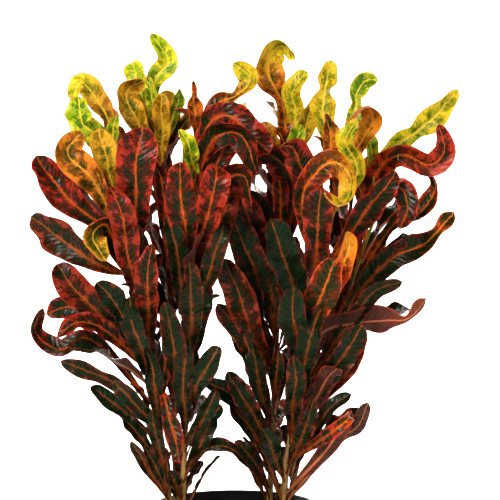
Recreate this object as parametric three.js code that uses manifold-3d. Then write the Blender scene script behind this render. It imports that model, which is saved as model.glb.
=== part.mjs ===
// A potted croton: six leafy stems, in two clumps of three, rooted in one black nursery pot.
// Millimetres, +Z up. The origin is the middle of the pot's flat base. The front is -Y.
import * as THREE from 'three';
import Module from 'manifold-3d';

const wasm = await Module();
wasm.setup();

// Pot
const rimRadius = 105;
const potHeight = 185;
const baseRadius = 74;
const wall = 2.2;
const collarHeight = 24;
const collarStep = 2.6;
const lipHeight = 4;
const lipWidth = 2.2;
const baseChamfer = 2;
const potSides = 36;
const drainHole = { count: 6, radius: 5, ring: 50, sides: 8 };

// Soil
const soilTop = 160;
const soilRings = [0.3, 0.62, 0.9];
const soilSides = 26;
const soilRoughness = 2.2;

// Clearance between pieces that touch on the real plant
const gap = 0.35;

// The finest detail kept where blades run into each other
const sliver = 0.15;

// Stems: from is the foot in the soil, to is the growing tip
const stemFoot = 130;
const stemSpread = 1.35;
const stemSides = 8;
const stemStations = [0, 0.08, 0.18, 0.3, 0.43, 0.57, 0.72, 0.86, 0.97, 1];
const stemTaper = 0.5;
const stems = {
  leftOuter: { from: [-81, -6], to: [-160, -40, 628], radius: 4.7 },
  leftRear: { from: [-76, 12], to: [-100, 52, 660], radius: 4.4 },
  leftInner: { from: [-69, -4], to: [-42, -34, 640], radius: 4.0 },
  rightInner: { from: [44, 10], to: [70, 48, 645], radius: 4.4 },
  rightFront: { from: [57, -8], to: [138, -40, 620], radius: 4.8 },
  rightOuter: { from: [63, 9], to: [192, 36, 575], radius: 4.3 },
};

// Leaf blades
const ribbonSteps = 48;
const petioleShare = 0.07;
const petioleWidth = 3.4;
const tipWidth = 1.6;
const rootThickness = 2.6;
const rootShare = 0.3;
const bladeThickness = 1.0;
const curlStart = 0.55;
const twistStart = 0.15;
const middleStep = 22;
const waveHeight = 0.085;
const waveCount = 2.3;
const shownStations = [0, 0.09, 0.24, 0.4, 0.55, 0.69, 0.81, 0.91, 1];
const loopStations = [0, 0.08, 0.19, 0.3, 0.4, 0.49, 0.58, 0.66, 0.74, 0.82, 0.91, 1];
const fillStations = [0, 0.1, 0.3, 0.52, 0.72, 0.9, 1];

// Leaves placed one by one. at is the share of the stem's height, tip the end of the midrib or, where
// there is no path, its furthest point, and path what the midrib passes on its way there. wide is the
// blade's width, and bend, curl and twist are the turns in degrees along the whole midrib, along its end,
// and about it. face is 1 where the upper side looks to the front, -1 where the underside does.
const placed = {
  leftOuter: [
    {
      at: 0.97, path: [[-160, -42, 676], [-180, -45, 712], [-196, -48, 727]], tip: [-207, -52, 703],
      wide: 29, twist: 20, face: 0.7,
    },
    {
      at: 0.95, path: [[-174, -62, 658], [-192, -70, 672]], tip: [-195, -74, 706], wide: 36,
      twist: -30, face: 1,
    },
    {
      at: 0.81, path: [[-180, -86, 604], [-204, -95, 634]], tip: [-188, -99, 660], wide: 37, twist: 25,
      face: 1,
    },
    { at: 0.83, tip: [-168, -92, 664], wide: 33, bend: 10, curl: 50, twist: -40, face: 0.7 },
    { at: 0.98, tip: [-149, -62, 682], wide: 17, bend: 10, curl: 30, twist: 60, face: 0.6 },
    {
      at: 0.78, path: [[-205, -70, 576], [-236, -66, 612]], tip: [-249, -62, 633], wide: 40, twist: 35,
      face: 1,
    },
    { at: 0.76, tip: [-232, 4, 572], wide: 28, bend: 20, curl: 60, twist: 80, face: 0.5 },
    {
      at: 0.7, path: [[-180, -60, 500], [-226, -48, 532]], tip: [-260, -36, 556], wide: 42, twist: -35,
      face: 1,
    },
    {
      at: 0.66, path: [[-164, -84, 520], [-184, -106, 546], [-196, -112, 522]], tip: [-182, -116, 500],
      wide: 31, twist: 30, face: 0.8,
    },
    {
      at: 0.55, path: [[-170, -46, 430], [-208, -52, 474]], tip: [-226, -46, 496], wide: 40, twist: 25,
      face: 1,
    },
    {
      at: 0.36, path: [[-182, -30, 399], [-224, -34, 386], [-254, -34, 409]], tip: [-245, -34, 440],
      wide: 28, twist: 40, face: 0.6,
    },
    {
      at: 0.46, path: [[-168, -12, 426], [-214, -2, 441]], tip: [-246, 8, 430], wide: 32, twist: -50,
      face: 0.8,
    },
    {
      at: 0.45, path: [[-160, -52, 410], [-196, -66, 424]], tip: [-222, -70, 404], wide: 25, twist: 70,
      face: 0.7,
    },
    {
      at: 0.3, path: [[-150, -30, 340], [-188, -42, 360]], tip: [-221, -46, 373], wide: 22, twist: -20,
      face: 1,
    },
    { at: 0.27, tip: [-186, -16, 338], wide: 21, bend: 24, curl: 20, twist: 50, face: 0.9 },
    { at: 0.29, tip: [-150, -68, 350], wide: 22, bend: 50, curl: 60, twist: -60, face: 0.7 },
    { at: 0.19, tip: [-158, -26, 308], wide: 20, bend: 16, curl: 40, twist: 80, face: 0.7 },
    { at: 0.115, tip: [-132, -34, 270], wide: 15, bend: -10, curl: 20, twist: -60, face: 0.8 },
    { at: 0.71, tip: [-112, -110, 664], wide: 49, bend: 22, curl: 60, twist: -12, face: 1 },
    { at: 0.53, tip: [-122, -116, 540], wide: 36, bend: 20, curl: 40, twist: 40, face: -0.9 },
    { at: 0.47, tip: [-170, -102, 474], wide: 32, bend: 24, curl: 60, twist: 60, face: 0.9 },
    { at: 0.4, path: [[-88, -56, 325]], tip: [-68, -76, 248], wide: 22, twist: 30, face: 0.9 },
    { at: 0.6, tip: [-152, -110, 592], wide: 34, bend: 30, curl: 60, twist: 40, face: 0.9 },
    { at: 0.4, tip: [-130, -86, 456], wide: 29, bend: 20, curl: 50, twist: -50, face: 0.8 },
    { at: 0.26, tip: [-112, -64, 392], wide: 22, bend: 12, curl: 40, twist: 60, face: 0.9 },
    { at: 0.16, tip: [-104, -52, 312], wide: 19, bend: 20, curl: 40, twist: -70, face: 0.7 },
    { at: 0.46, tip: [-101, -94, 522], wide: 31, bend: 15, curl: 40, twist: -50, face: 0.9 },
  ],
  leftRear: [
    {
      at: 0.99, path: [[-108, 46, 735], [-90, 44, 765]], tip: [-112, 40, 802], wide: 27, twist: 30,
      face: 1,
    },
    { at: 0.98, tip: [-136, 42, 764], wide: 29, bend: 30, curl: 60, twist: -20, face: 1 },
    {
      at: 0.93, path: [[-128, 14, 680], [-140, 6, 718]], tip: [-119, 2, 735], wide: 32, twist: 40,
      face: 0.9,
    },
    { at: 0.96, tip: [-74, 32, 728], wide: 19, bend: -10, curl: 30, twist: 90, face: 1 },
    { at: 0.92, tip: [-96, 2, 718], wide: 24, bend: 10, curl: 30, twist: 20, face: 0.8 },
    { at: 0.97, tip: [-112, 26, 742], wide: 16, bend: 15, curl: 60, twist: -80, face: 0.7 },
  ],
  leftInner: [
    { at: 0.97, tip: [-53, -26, 732], wide: 21, bend: 5, curl: -20, twist: 80, face: 0.6 },
    {
      at: 0.95, path: [[-30, -22, 692], [2, -16, 714], [18, -14, 736]], tip: [-2, -12, 756], wide: 29,
      twist: 20, face: 0.6,
    },
    { at: 0.97, tip: [8, 6, 704], wide: 29, bend: 40, curl: 60, twist: -40, face: 1 },
    {
      at: 0.93, path: [[-37, -60, 664], [-4, -76, 680]], tip: [44, -86, 634], wide: 40, twist: -20,
      face: 0.7,
    },
    {
      at: 0.86, path: [[-32, -76, 646], [4, -94, 656]], tip: [30, -102, 606], wide: 36, twist: 30,
      face: 0.8,
    },
    { at: 0.9, tip: [-69, -76, 664], wide: 21, bend: 20, curl: 60, twist: 50, face: 0.8 },
    { at: 0.72, tip: [-22, -112, 618], wide: 37, bend: 35, curl: 90, twist: 30, face: 1 },
    { at: 0.66, tip: [-66, -116, 622], wide: 38, bend: 25, curl: 50, twist: -20, face: 1 },
    { at: 0.53, tip: [-38, -100, 537], wide: 31, bend: 15, curl: 20, twist: -60, face: 0.5 },
    { at: 0.56, tip: [-14, -84, 545], wide: 27, bend: 15, curl: 70, twist: 50, face: 0.8 },
    { at: 0.34, tip: [-18, -86, 394], wide: 27, bend: 40, curl: 70, twist: -20, face: 0.9 },
    { at: 0.24, tip: [-24, -66, 340], wide: 22, bend: 20, curl: 60, twist: 70, face: 0.8 },
    { at: 0.32, tip: [-86, -102, 450], wide: 29, bend: 15, curl: 20, twist: 25, face: -0.8 },
    { at: 0.43, tip: [-38, -66, 476], wide: 28, bend: 10, curl: 30, twist: 40, face: 0.9 },
    {
      at: 0.78, path: [[-22, -84, 590], [10, -106, 604]], tip: [22, -112, 560], wide: 33, twist: 40,
      face: 0.8,
    },
    { at: 0.26, tip: [-58, -78, 408], wide: 28, bend: 20, curl: 30, twist: -60, face: 0.9 },
    { at: 0.44, tip: [-56, -108, 500], wide: 30, bend: 20, curl: 50, twist: 50, face: 0.9 },
    { at: 0.5, tip: [-84, -98, 556], wide: 30, bend: 15, curl: 30, twist: 40, face: -0.7 },
    { at: 0.27, tip: [-16, -42, 316], wide: 20, bend: 40, curl: 30, twist: 40, face: 0.7 },
    { at: 0.62, tip: [0, -64, 600], wide: 34, bend: 25, curl: 40, twist: 20, face: 0.9 },
    { at: 0.84, tip: [-4, -70, 668], wide: 33, bend: 40, curl: 50, twist: 30, face: 0.9 },
  ],
  rightInner: [
    {
      at: 0.93, path: [[64, 33, 700], [44, 29, 748], [52, 25, 779]], tip: [76, 21, 779], wide: 30,
      twist: 25, face: 0.8,
    },
    {
      at: 0.97, path: [[80, 34, 694], [74, 28, 722]], tip: [94, 24, 750], wide: 28, twist: -60,
      face: 1,
    },
    { at: 0.94, tip: [104, 4, 712], wide: 26, bend: 15, curl: 20, twist: 60, face: 1 },
    { at: 0.9, tip: [86, -12, 676], wide: 24, bend: 10, curl: 50, twist: -40, face: 1 },
    { at: 0.89, tip: [36, 14, 682], wide: 25, bend: 10, curl: 40, twist: 30, face: 0.9 },
    {
      at: 0.7, path: [[76, -8, 590], [48, -22, 634]], tip: [16, -22, 626], wide: 36, twist: -30,
      face: 0.8,
    },
    {
      at: 0.62, path: [[48, -6, 530], [22, -22, 572]], tip: [-4, -24, 574], wide: 35, twist: 30,
      face: 0.9,
    },
    { at: 0.43, tip: [4, -18, 462], wide: 31, bend: 25, curl: 50, twist: -50, face: 0.8 },
    {
      at: 0.09, path: [[26, -20, 222], [2, -34, 257], [-28, -42, 264]], tip: [-56, -46, 248], wide: 22,
      twist: 30, face: 0.5, free: true,
    },
    { at: 0.2, tip: [-8, -22, 322], wide: 23, bend: 20, curl: 20, twist: 40, face: 0.8 },
    { at: 0.27, tip: [22, -28, 398], wide: 25, bend: 15, curl: 30, twist: -60, face: 0.9 },
    { at: 0.5, tip: [30, -30, 524], wide: 32, bend: 25, curl: 60, twist: 40, face: 0.9 },
    { at: 0.33, tip: [-4, -16, 404], wide: 28, bend: 30, curl: 40, twist: 60, face: 0.8 },
    { at: 0.22, tip: [-10, -4, 356], wide: 22, bend: 20, curl: 30, twist: -40, face: 0.7 },
    { at: 0.14, tip: [0, -34, 270], wide: 19, bend: 30, curl: 40, twist: 50, face: 0.8 },
    { at: 0.6, tip: [4, -50, 594], wide: 39, bend: 15, curl: 40, twist: -25, face: 0.9 },
    { at: 0.52, tip: [-4, -56, 556], wide: 40, bend: 25, curl: 40, twist: 30, face: 0.9 },
    { at: 0.4, tip: [0, -52, 468], wide: 34, bend: 20, curl: 30, twist: -30, face: 0.9 },
    { at: 0.24, tip: [-6, -50, 352], wide: 28, bend: 20, curl: 40, twist: 30, face: 0.9 },
  ],
  rightFront: [
    { at: 0.97, path: [[113, -32, 690]], tip: [124, -24, 758], wide: 34, twist: 20, face: 1 },
    {
      at: 0.98, path: [[154, -34, 690], [155, -31, 712], [166, -28, 730]], tip: [184, -26, 732],
      wide: 25, twist: 25, face: 1,
    },
    {
      at: 0.93, path: [[160, -58, 652], [175, -66, 680], [162, -77, 691]], tip: [139, -80, 672],
      wide: 28, twist: -40, face: 0.8,
    },
    { at: 0.9, tip: [114, -62, 686], wide: 24, bend: 15, curl: 20, twist: 60, face: 0.8 },
    {
      at: 0.87, path: [[152, -76, 612], [138, -90, 648]], tip: [152, -96, 676], wide: 27, twist: -70,
      face: 1,
    },
    {
      at: 0.7,
      path: [[84, -98, 570], [103, -114, 610], [124, -122, 621], [142, -128, 601], [131, -133, 570]],
      tip: [109, -127, 583], wide: 33, twist: 15, face: 0.85, loop: true,
    },
    { at: 0.64, tip: [106, -124, 590], wide: 38, bend: 15, curl: 50, twist: -20, face: 0.8 },
    {
      at: 0.7, path: [[160, -68, 556], [188, -80, 590]], tip: [201, -84, 612], wide: 34, twist: 40,
      face: 1,
    },
    {
      at: 0.66, path: [[172, -58, 566], [206, -66, 594], [217, -74, 568]], tip: [205, -84, 540],
      wide: 29, twist: -40, face: 0.7,
    },
    { at: 0.6, tip: [139, -128, 536], wide: 19, bend: 60, curl: 60, twist: 30, face: 1 },
    { at: 0.52, tip: [124, -132, 504], wide: 40, bend: 15, curl: 90, twist: -15, face: 0.8 },
    { at: 0.54, tip: [44, -112, 552], wide: 42, bend: 20, curl: 20, twist: 25, face: -0.7 },
    { at: 0.3, tip: [166, -52, 408], wide: 34, bend: 20, curl: 10, twist: -25, face: 1 },
    {
      at: 0.4, path: [[150, -58, 428], [176, -64, 462]], tip: [211, -64, 474], wide: 23, twist: 40,
      face: 0.9,
    },
    {
      at: 0.34, path: [[103, -40, 398], [150, -54, 422], [190, -60, 427], [218, -58, 427]],
      tip: [242, -54, 453], wide: 36, twist: 20, face: -0.8, free: true,
    },
    { at: 0.28, tip: [126, -104, 368], wide: 27, bend: 20, curl: 40, twist: 20, face: -1 },
    { at: 0.22, tip: [146, -74, 334], wide: 21, bend: 20, curl: 50, twist: -60, face: 0.8 },
    {
      at: 0.13, path: [[100, -58, 245], [128, -70, 280]], tip: [146, -77, 313], wide: 21, twist: -30,
      face: -1,
    },
    {
      at: 0.1, path: [[94, -28, 226], [122, -42, 268], [154, -50, 291]], tip: [169, -51, 321],
      wide: 22, twist: 0, face: -0.8,
    },
    { at: 0.22, tip: [140, -100, 306], wide: 16, bend: 30, curl: 200, twist: 30, face: 0.8 },
    { at: 0.33, tip: [158, -94, 422], wide: 34, bend: 15, curl: 30, twist: 30, face: 1 },
    { at: 0.44, tip: [72, -118, 470], wide: 36, bend: 20, curl: 40, twist: -30, face: 1 },
    { at: 0.27, tip: [72, -98, 384], wide: 27, bend: 15, curl: 50, twist: 40, face: 0.9 },
    {
      at: 0.82, path: [[92, -84, 590], [76, -106, 636]], tip: [56, -116, 640], wide: 36, twist: -30,
      face: 0.8,
    },
    { at: 0.17, tip: [34, -74, 292], wide: 22, bend: 10, curl: 40, twist: 40, face: 0.9 },
    { at: 0.36, tip: [108, -112, 446], wide: 31, bend: 15, curl: 40, twist: -50, face: 0.8 },
    { at: 0.19, tip: [98, -82, 330], wide: 22, bend: 15, curl: 40, twist: 50, face: 0.9 },
  ],
  rightOuter: [
    {
      at: 0.97, path: [[204, 14, 640], [236, 0, 668], [262, -10, 690]], tip: [288, -14, 721], wide: 33,
      twist: 50, face: 0.8,
    },
    {
      at: 0.8, path: [[180, 8, 602], [212, -12, 636], [250, -20, 624], [269, -22, 642]],
      tip: [262, -22, 676], wide: 32, twist: 40, face: 0.7,
    },
    {
      at: 0.7, path: [[204, 8, 545], [240, 0, 562], [259, -6, 594]], tip: [248, -10, 621], wide: 25,
      twist: -30, face: 0.6,
    },
    { at: 0.93, tip: [212, 6, 656], wide: 30, bend: 20, curl: 40, twist: -90, face: 1 },
    { at: 0.98, tip: [172, 24, 672], wide: 21, bend: 10, curl: 50, twist: 60, face: 1 },
    { at: 0.66, tip: [224, -4, 534], wide: 28, bend: 40, curl: 60, twist: 40, face: 0.8 },
    {
      at: 0.6, path: [[164, -6, 462], [202, -30, 504], [244, -40, 524]], tip: [279, -44, 562],
      wide: 37, twist: -60, face: 0.9,
    },
  ],
};

// Leaves placed by rule on the sides that the list leaves bare. towards is the middle heading in degrees
// from +X, and spread how far they fan out round it.
const fills = {
  leftOuter: { count: 8, towards: 140, spread: 150, seed: 9 },
  leftRear: { count: 14, towards: 98, spread: 230, seed: 13 },
  leftInner: { count: 4, towards: 60, spread: 120, seed: 18 },
  rightInner: { count: 13, towards: 96, spread: 200, seed: 9 },
  rightFront: { count: 3, towards: 20, spread: 110, seed: 12 },
  rightOuter: { count: 12, towards: 62, spread: 210, seed: 7 },
};
const fillRange = [0.2, 0.97];
const fillLength = { low: 112, mid: 52, top: 96 };
const fillTilt = { low: 66, top: 14, scatter: 14 };
const fillFanStart = 0.37;
const fillWide = { end: 25, mid: 13, scatter: 5 };
const fillBend = { least: 18, scatter: 34 };
const fillCurl = { least: -40, scatter: 150 };
const fillTwist = { least: -80, scatter: 160 };
const fillFaceScatter = 0.24;
const goldenShare = 0.618034;

// A repeatable random number between 0 and 1 at each call.
function randomFrom(seed) {
  let state = seed * 7919 + 17;
  return () => {
    state = (state * 16807) % 2147483647;
    return state / 2147483647;
  };
}

function radians(degrees) {
  return (degrees * Math.PI) / 180;
}

// The middle of a stem at height z, carried on past its tip.
function stemAxis(stem, z) {
  const share = Math.max(0, (z - stemFoot) / (stem.to[2] - stemFoot)) ** stemSpread;
  return [0, 1].map((i) => stem.from[i] + (stem.to[i] - stem.from[i]) * share);
}

// Keeps a point on its own stem's side of every neighbour, so that no leaf crosses another stem's.
const freeShare = 0.6;
const neighbourMargin = 1.1;
function keepClear(point, name) {
  const own = stemAxis(stems[name], point.z);
  const away = new THREE.Vector2(point.x - own[0], point.y - own[1]);
  const reach = away.length();
  if (reach < 1e-6) return point;
  let limit = Infinity;
  for (const [other, stem] of Object.entries(stems)) {
    if (other === name) continue;
    const axis = stemAxis(stem, point.z);
    const across = new THREE.Vector2(axis[0] - own[0], axis[1] - own[1]);
    const apart = across.length();
    const facing = across.dot(away) / (apart * reach);
    if (facing > 1e-6) limit = Math.min(limit, (apart / 2 - neighbourMargin) / facing);
  }
  const free = limit * freeShare;
  if (reach <= free) return point;
  const kept = free + (limit - free) * Math.tanh((reach - free) / (limit - free));
  away.multiplyScalar(kept / reach);
  return new THREE.Vector3(own[0] + away.x, own[1] + away.y, point.z);
}

// Half the blade's width at share t of its length, where the widest place is 1.
function bladeShape(t) {
  const u = Math.max(0, (t - petioleShare) / (1 - petioleShare));
  return (u ** 0.8 * Math.sqrt(Math.max(0, 1 - u ** 4))) / 0.657;
}

// The midrib of a leaf with its length 1, bent, curled and twisted from a start along +X.
function midrib(leaf) {
  const point = new THREE.Vector3();
  const along = new THREE.Vector3(1, 0, 0);
  const up = new THREE.Vector3(0, 0, 1);
  const frames = [];
  const curlSpan = 1 - curlStart;
  for (let i = 0; i <= ribbonSteps; i += 1) {
    frames.push({ point: point.clone(), along: along.clone(), up: up.clone() });
    const t = (i + 0.5) / ribbonSteps;
    const curling = t > curlStart ? (2 * (t - curlStart)) / curlSpan ** 2 : 0;
    const bending = radians(leaf.bend + leaf.curl * curling) / ribbonSteps;
    const twisting = t > twistStart ? radians(leaf.twist) / (1 - twistStart) / ribbonSteps : 0;
    point.addScaledVector(along, 1 / ribbonSteps);
    const side = new THREE.Vector3().crossVectors(up, along);
    along.applyAxisAngle(side, bending);
    up.applyAxisAngle(side, bending);
    up.applyAxisAngle(along, twisting);
  }
  return frames;
}

// Where the leaf's upper side looks, square to the line along its middle.
function facingOf(line, stem, face) {
  const skyward = new THREE.Vector3(0, 0, 1).projectOnPlane(line);
  if (skyward.length() < 0.08) {
    skyward.set(stem.from[0] - stem.to[0], stem.from[1] - stem.to[1], 0).projectOnPlane(line);
  }
  const frontward = new THREE.Vector3(0, -1, 0).projectOnPlane(line);
  skyward.normalize().multiplyScalar(1 - Math.abs(face));
  frontward.normalize().multiplyScalar(face);
  return skyward.add(frontward).normalize();
}

// The midrib of a leaf with a path: a smooth curve through its points, twisted along its length.
function routedMidrib(leaf, root, stem) {
  const points = [root, ...[...leaf.path, leaf.tip].map((p) => new THREE.Vector3(...p))];
  const curve = new THREE.CatmullRomCurve3(points, false, 'catmullrom', 0.5);
  const up = new THREE.Vector3(0, 0, 1);
  let before = curve.getTangentAt(0);
  up.projectOnPlane(before).normalize();
  const frames = [];
  for (let i = 0; i <= ribbonSteps; i += 1) {
    const along = curve.getTangentAt(i / ribbonSteps);
    up.applyQuaternion(new THREE.Quaternion().setFromUnitVectors(before, along));
    const twistStep = radians(leaf.twist) / (1 - twistStart) / ribbonSteps;
    const twisting = i / ribbonSteps > twistStart ? twistStep : 0;
    up.applyAxisAngle(along, twisting);
    frames.push({ point: curve.getPointAt(i / ribbonSteps), along, up: up.clone() });
    before = along;
  }
  const middle = frames[middleStep];
  const wanted = facingOf(middle.along, stem, leaf.face);
  const sideways = new THREE.Vector3().crossVectors(middle.up, wanted).dot(middle.along);
  const roll = Math.atan2(sideways, middle.up.dot(wanted));
  frames.forEach((f) => f.up.applyAxisAngle(f.along, roll));
  return frames;
}

// The midrib of a leaf in its place: points, with the directions up out of the blade and along it.
function placeMidrib(leaf, name) {
  const stem = stems[name];
  const height = stemFoot + (stem.to[2] - stemFoot) * leaf.at;
  const [x, y] = stemAxis(stem, height);
  const root = new THREE.Vector3(x, y, height);
  if (leaf.path) return routedMidrib(leaf, root, stem);
  const frames = midrib(leaf);
  const furthest = frames.reduce((a, b) => (b.point.length() > a.point.length() ? b : a));
  const line = furthest.point.clone().normalize();
  const upright = frames[middleStep].up.clone().projectOnPlane(line).normalize();
  const across = new THREE.Vector3().crossVectors(line, upright);
  const local = new THREE.Matrix4().makeBasis(line, upright, across);
  const span = new THREE.Vector3(...leaf.tip).sub(root);
  const length = span.length() / furthest.point.length();
  span.normalize();
  const facing = facingOf(span, stem, leaf.face);
  const world = new THREE.Matrix4().makeBasis(span, facing, new THREE.Vector3().crossVectors(span, facing));
  const turn = world.multiply(local.invert());
  return frames.map((f) => ({
    point: f.point.clone().multiplyScalar(length).applyMatrix4(turn).add(root),
    along: f.along.clone().transformDirection(turn),
    up: f.up.clone().transformDirection(turn),
  }));
}

// The blade's two waved edges at each station, kept clear of the other stems' leaves.
function bladeEdges(leaf, name, stations, phase) {
  const frames = placeMidrib(leaf, name);
  return stations.map((t) => {
    const frame = frames[Math.round(t * ribbonSteps)];
    const halfWidth = t === 1 ? tipWidth / 2 : Math.max(petioleWidth / 2, (leaf.wide / 2) * bladeShape(t));
    const side = new THREE.Vector3().crossVectors(frame.up, frame.along);
    const swing = leaf.wide * waveHeight * bladeShape(t);
    return [-1, 1].map((across) => {
      const wave = swing * Math.sin(2 * Math.PI * (waveCount * t + phase + 0.3 * across));
      const edge = frame.point.clone().addScaledVector(side, across * halfWidth);
      edge.addScaledVector(frame.up, wave);
      return leaf.free ? edge : keepClear(edge, name);
    });
  });
}

// One blade as a closed solid: four corners at each station, on both sides of its edges.
function leafSolid(leaf, name, stations, phase) {
  const edges = bladeEdges(leaf, name, stations, phase);
  const middles = edges.map(([left, right]) => left.clone().add(right).multiplyScalar(0.5));
  const vertices = [];
  stations.forEach((t, s) => {
    const [left, right] = edges[s];
    const before = middles[Math.max(0, s - 1)];
    const along = middles[Math.min(stations.length - 1, s + 1)].clone().sub(before);
    const up = along.cross(right.clone().sub(left)).normalize();
    const thickness = bladeThickness + (rootThickness - bladeThickness) * Math.max(0, 1 - t / rootShare);
    const corners = [[left, 1], [right, 1], [right, -1], [left, -1]];
    corners.forEach(([edge, face]) => {
      const corner = edge.clone().addScaledVector(up, (face * thickness) / 2);
      vertices.push(corner.x, corner.y, corner.z);
    });
  });
  const triangles = [];
  for (let s = 0; s + 1 < stations.length; s += 1) {
    for (let i = 0; i < 4; i += 1) {
      const a = s * 4 + i;
      const b = s * 4 + ((i + 1) % 4);
      // The upper side and the underside are split along the same diagonal.
      if (i < 2) triangles.push(a, b, b + 4, a, b + 4, a + 4);
      else triangles.push(a, b, a + 4, b, b + 4, a + 4);
    }
  }
  const last = (stations.length - 1) * 4;
  triangles.push(0, 3, 1, 1, 3, 2, last, last + 1, last + 3, last + 1, last + 2, last + 3);
  return solidFrom(vertices, triangles);
}

// A closed solid from plain vertices and triangles, turned to face out.
function solidFrom(vertices, triangles) {
  const make = (triVerts) =>
    new wasm.Manifold(new wasm.Mesh({ numProp: 3, vertProperties: new Float32Array(vertices), triVerts }));
  const made = make(new Uint32Array(triangles));
  if (made.volume() > 0) return made;
  const turned = triangles.slice();
  for (let i = 0; i < turned.length; i += 3) {
    [turned[i + 1], turned[i + 2]] = [turned[i + 2], turned[i + 1]];
  }
  return make(new Uint32Array(turned));
}

// A stem as a round tube that follows its axis, or the hole that it stands in where grow is above 0.
function stemSolid(stem, grow) {
  const vertices = [];
  const triangles = [];
  const height = stem.to[2] - stemFoot;
  stemStations.forEach((share) => {
    const z = stemFoot + height * share - (share === 0 ? grow : 0);
    const [x, y] = stemAxis(stem, z);
    const bud = share === 1 ? 0.35 : 1;
    const radius = stem.radius * (1 - stemTaper * share) * bud + grow;
    for (let i = 0; i < stemSides; i += 1) {
      const angle = (2 * Math.PI * i) / stemSides;
      vertices.push(x + radius * Math.cos(angle), y + radius * Math.sin(angle), z);
    }
  });
  for (let s = 0; s + 1 < stemStations.length; s += 1) {
    for (let i = 0; i < stemSides; i += 1) {
      const a = s * stemSides + i;
      const b = s * stemSides + ((i + 1) % stemSides);
      triangles.push(a, b, b + stemSides, a, b + stemSides, a + stemSides);
    }
  }
  const last = (stemStations.length - 1) * stemSides;
  for (let i = 1; i + 1 < stemSides; i += 1) {
    triangles.push(0, i + 1, i, last, last + i, last + i + 1);
  }
  return solidFrom(vertices, triangles);
}

// The leaves that the rule gives a stem, longest in the middle of its height and steepest at its top.
function fillLeaves(name) {
  const { count, towards, spread, seed } = fills[name];
  const stem = stems[name];
  const random = randomFrom(seed);
  const leaves = [];
  for (let k = 0; k < count; k += 1) {
    const share = (k + 0.5) / count;
    const at = fillRange[0] + (fillRange[1] - fillRange[0]) * share ** 0.8;
    const fan = ((k * goldenShare + fillFanStart) % 1) - 0.5;
    const heading = radians(towards + spread * fan);
    const leaning = fillTilt.low + (fillTilt.top - fillTilt.low) * share ** 1.3;
    const tilt = radians(leaning + fillTilt.scatter * (random() - 0.5));
    const straight = fillLength.low + (fillLength.top - fillLength.low) * share;
    const length = straight + fillLength.mid * Math.sin(Math.PI * share);
    const z = stemFoot + (stem.to[2] - stemFoot) * at;
    const [x, y] = stemAxis(stem, z);
    const out = length * Math.sin(tilt);
    leaves.push({
      at,
      tip: [x + out * Math.cos(heading), y + out * Math.sin(heading), z + length * Math.cos(tilt)],
      wide: fillWide.end + fillWide.mid * Math.sin(Math.PI * share) + fillWide.scatter * random(),
      bend: fillBend.least + fillBend.scatter * random(),
      curl: fillCurl.least + fillCurl.scatter * random(),
      twist: fillTwist.least + fillTwist.scatter * random(),
      face: fillFaceScatter * (random() - 0.5),
    });
  }
  return leaves;
}

function meshFrom(solid, name, material) {
  const mesh = solid.getMesh();
  const geometry = new THREE.BufferGeometry();
  const positions = new Float32Array(mesh.numVert * 3);
  for (let i = 0; i < mesh.numVert; i += 1) {
    for (let k = 0; k < 3; k += 1) positions[i * 3 + k] = mesh.vertProperties[i * mesh.numProp + k];
  }
  geometry.setAttribute('position', new THREE.BufferAttribute(positions, 3));
  geometry.setIndex(new THREE.BufferAttribute(new Uint32Array(mesh.triVerts), 1));
  geometry.computeVertexNormals();
  const made = new THREE.Mesh(geometry, material);
  made.name = name;
  return made;
}

function leafyStem(name) {
  let solid = stemSolid(stems[name], 0);
  placed[name].forEach((leaf, i) => {
    const stations = leaf.loop ? loopStations : shownStations;
    solid = solid.add(leafSolid(leaf, name, stations, i * goldenShare));
  });
  fillLeaves(name).forEach((leaf, i) => {
    solid = solid.add(leafSolid(leaf, name, fillStations, i * goldenShare + 0.5));
  });
  return solid.asOriginal().simplify(sliver);
}

// A lathed solid from its outline, which starts and ends on the axis.
function turned(outline, sides) {
  const points = outline.map(([r, z]) => new THREE.Vector2(r, z));
  const lathe = new THREE.LatheGeometry(points, sides);
  lathe.rotateX(Math.PI / 2);
  const position = lathe.getAttribute('position');
  const keys = new Map();
  const vertices = [];
  const index = [];
  for (let i = 0; i < position.count; i += 1) {
    const corner = [position.getX(i), position.getY(i), position.getZ(i)];
    const key = corner.map((v) => Math.round(v * 1000)).join();
    if (!keys.has(key)) {
      keys.set(key, vertices.length / 3);
      vertices.push(...corner);
    }
    index.push(keys.get(key));
  }
  const triangles = [];
  for (let i = 0; i < lathe.index.count; i += 3) {
    const [a, b, c] = [0, 1, 2].map((k) => index[lathe.index.array[i + k]]);
    if (a !== b && b !== c && c !== a) triangles.push(a, b, c);
  }
  return { vertices, triangles };
}

function potInnerRadius(z) {
  const collarFoot = potHeight - collarHeight;
  const slope = (rimRadius - lipWidth - collarStep - baseRadius) / collarFoot;
  return baseRadius - wall + slope * z;
}

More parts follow.
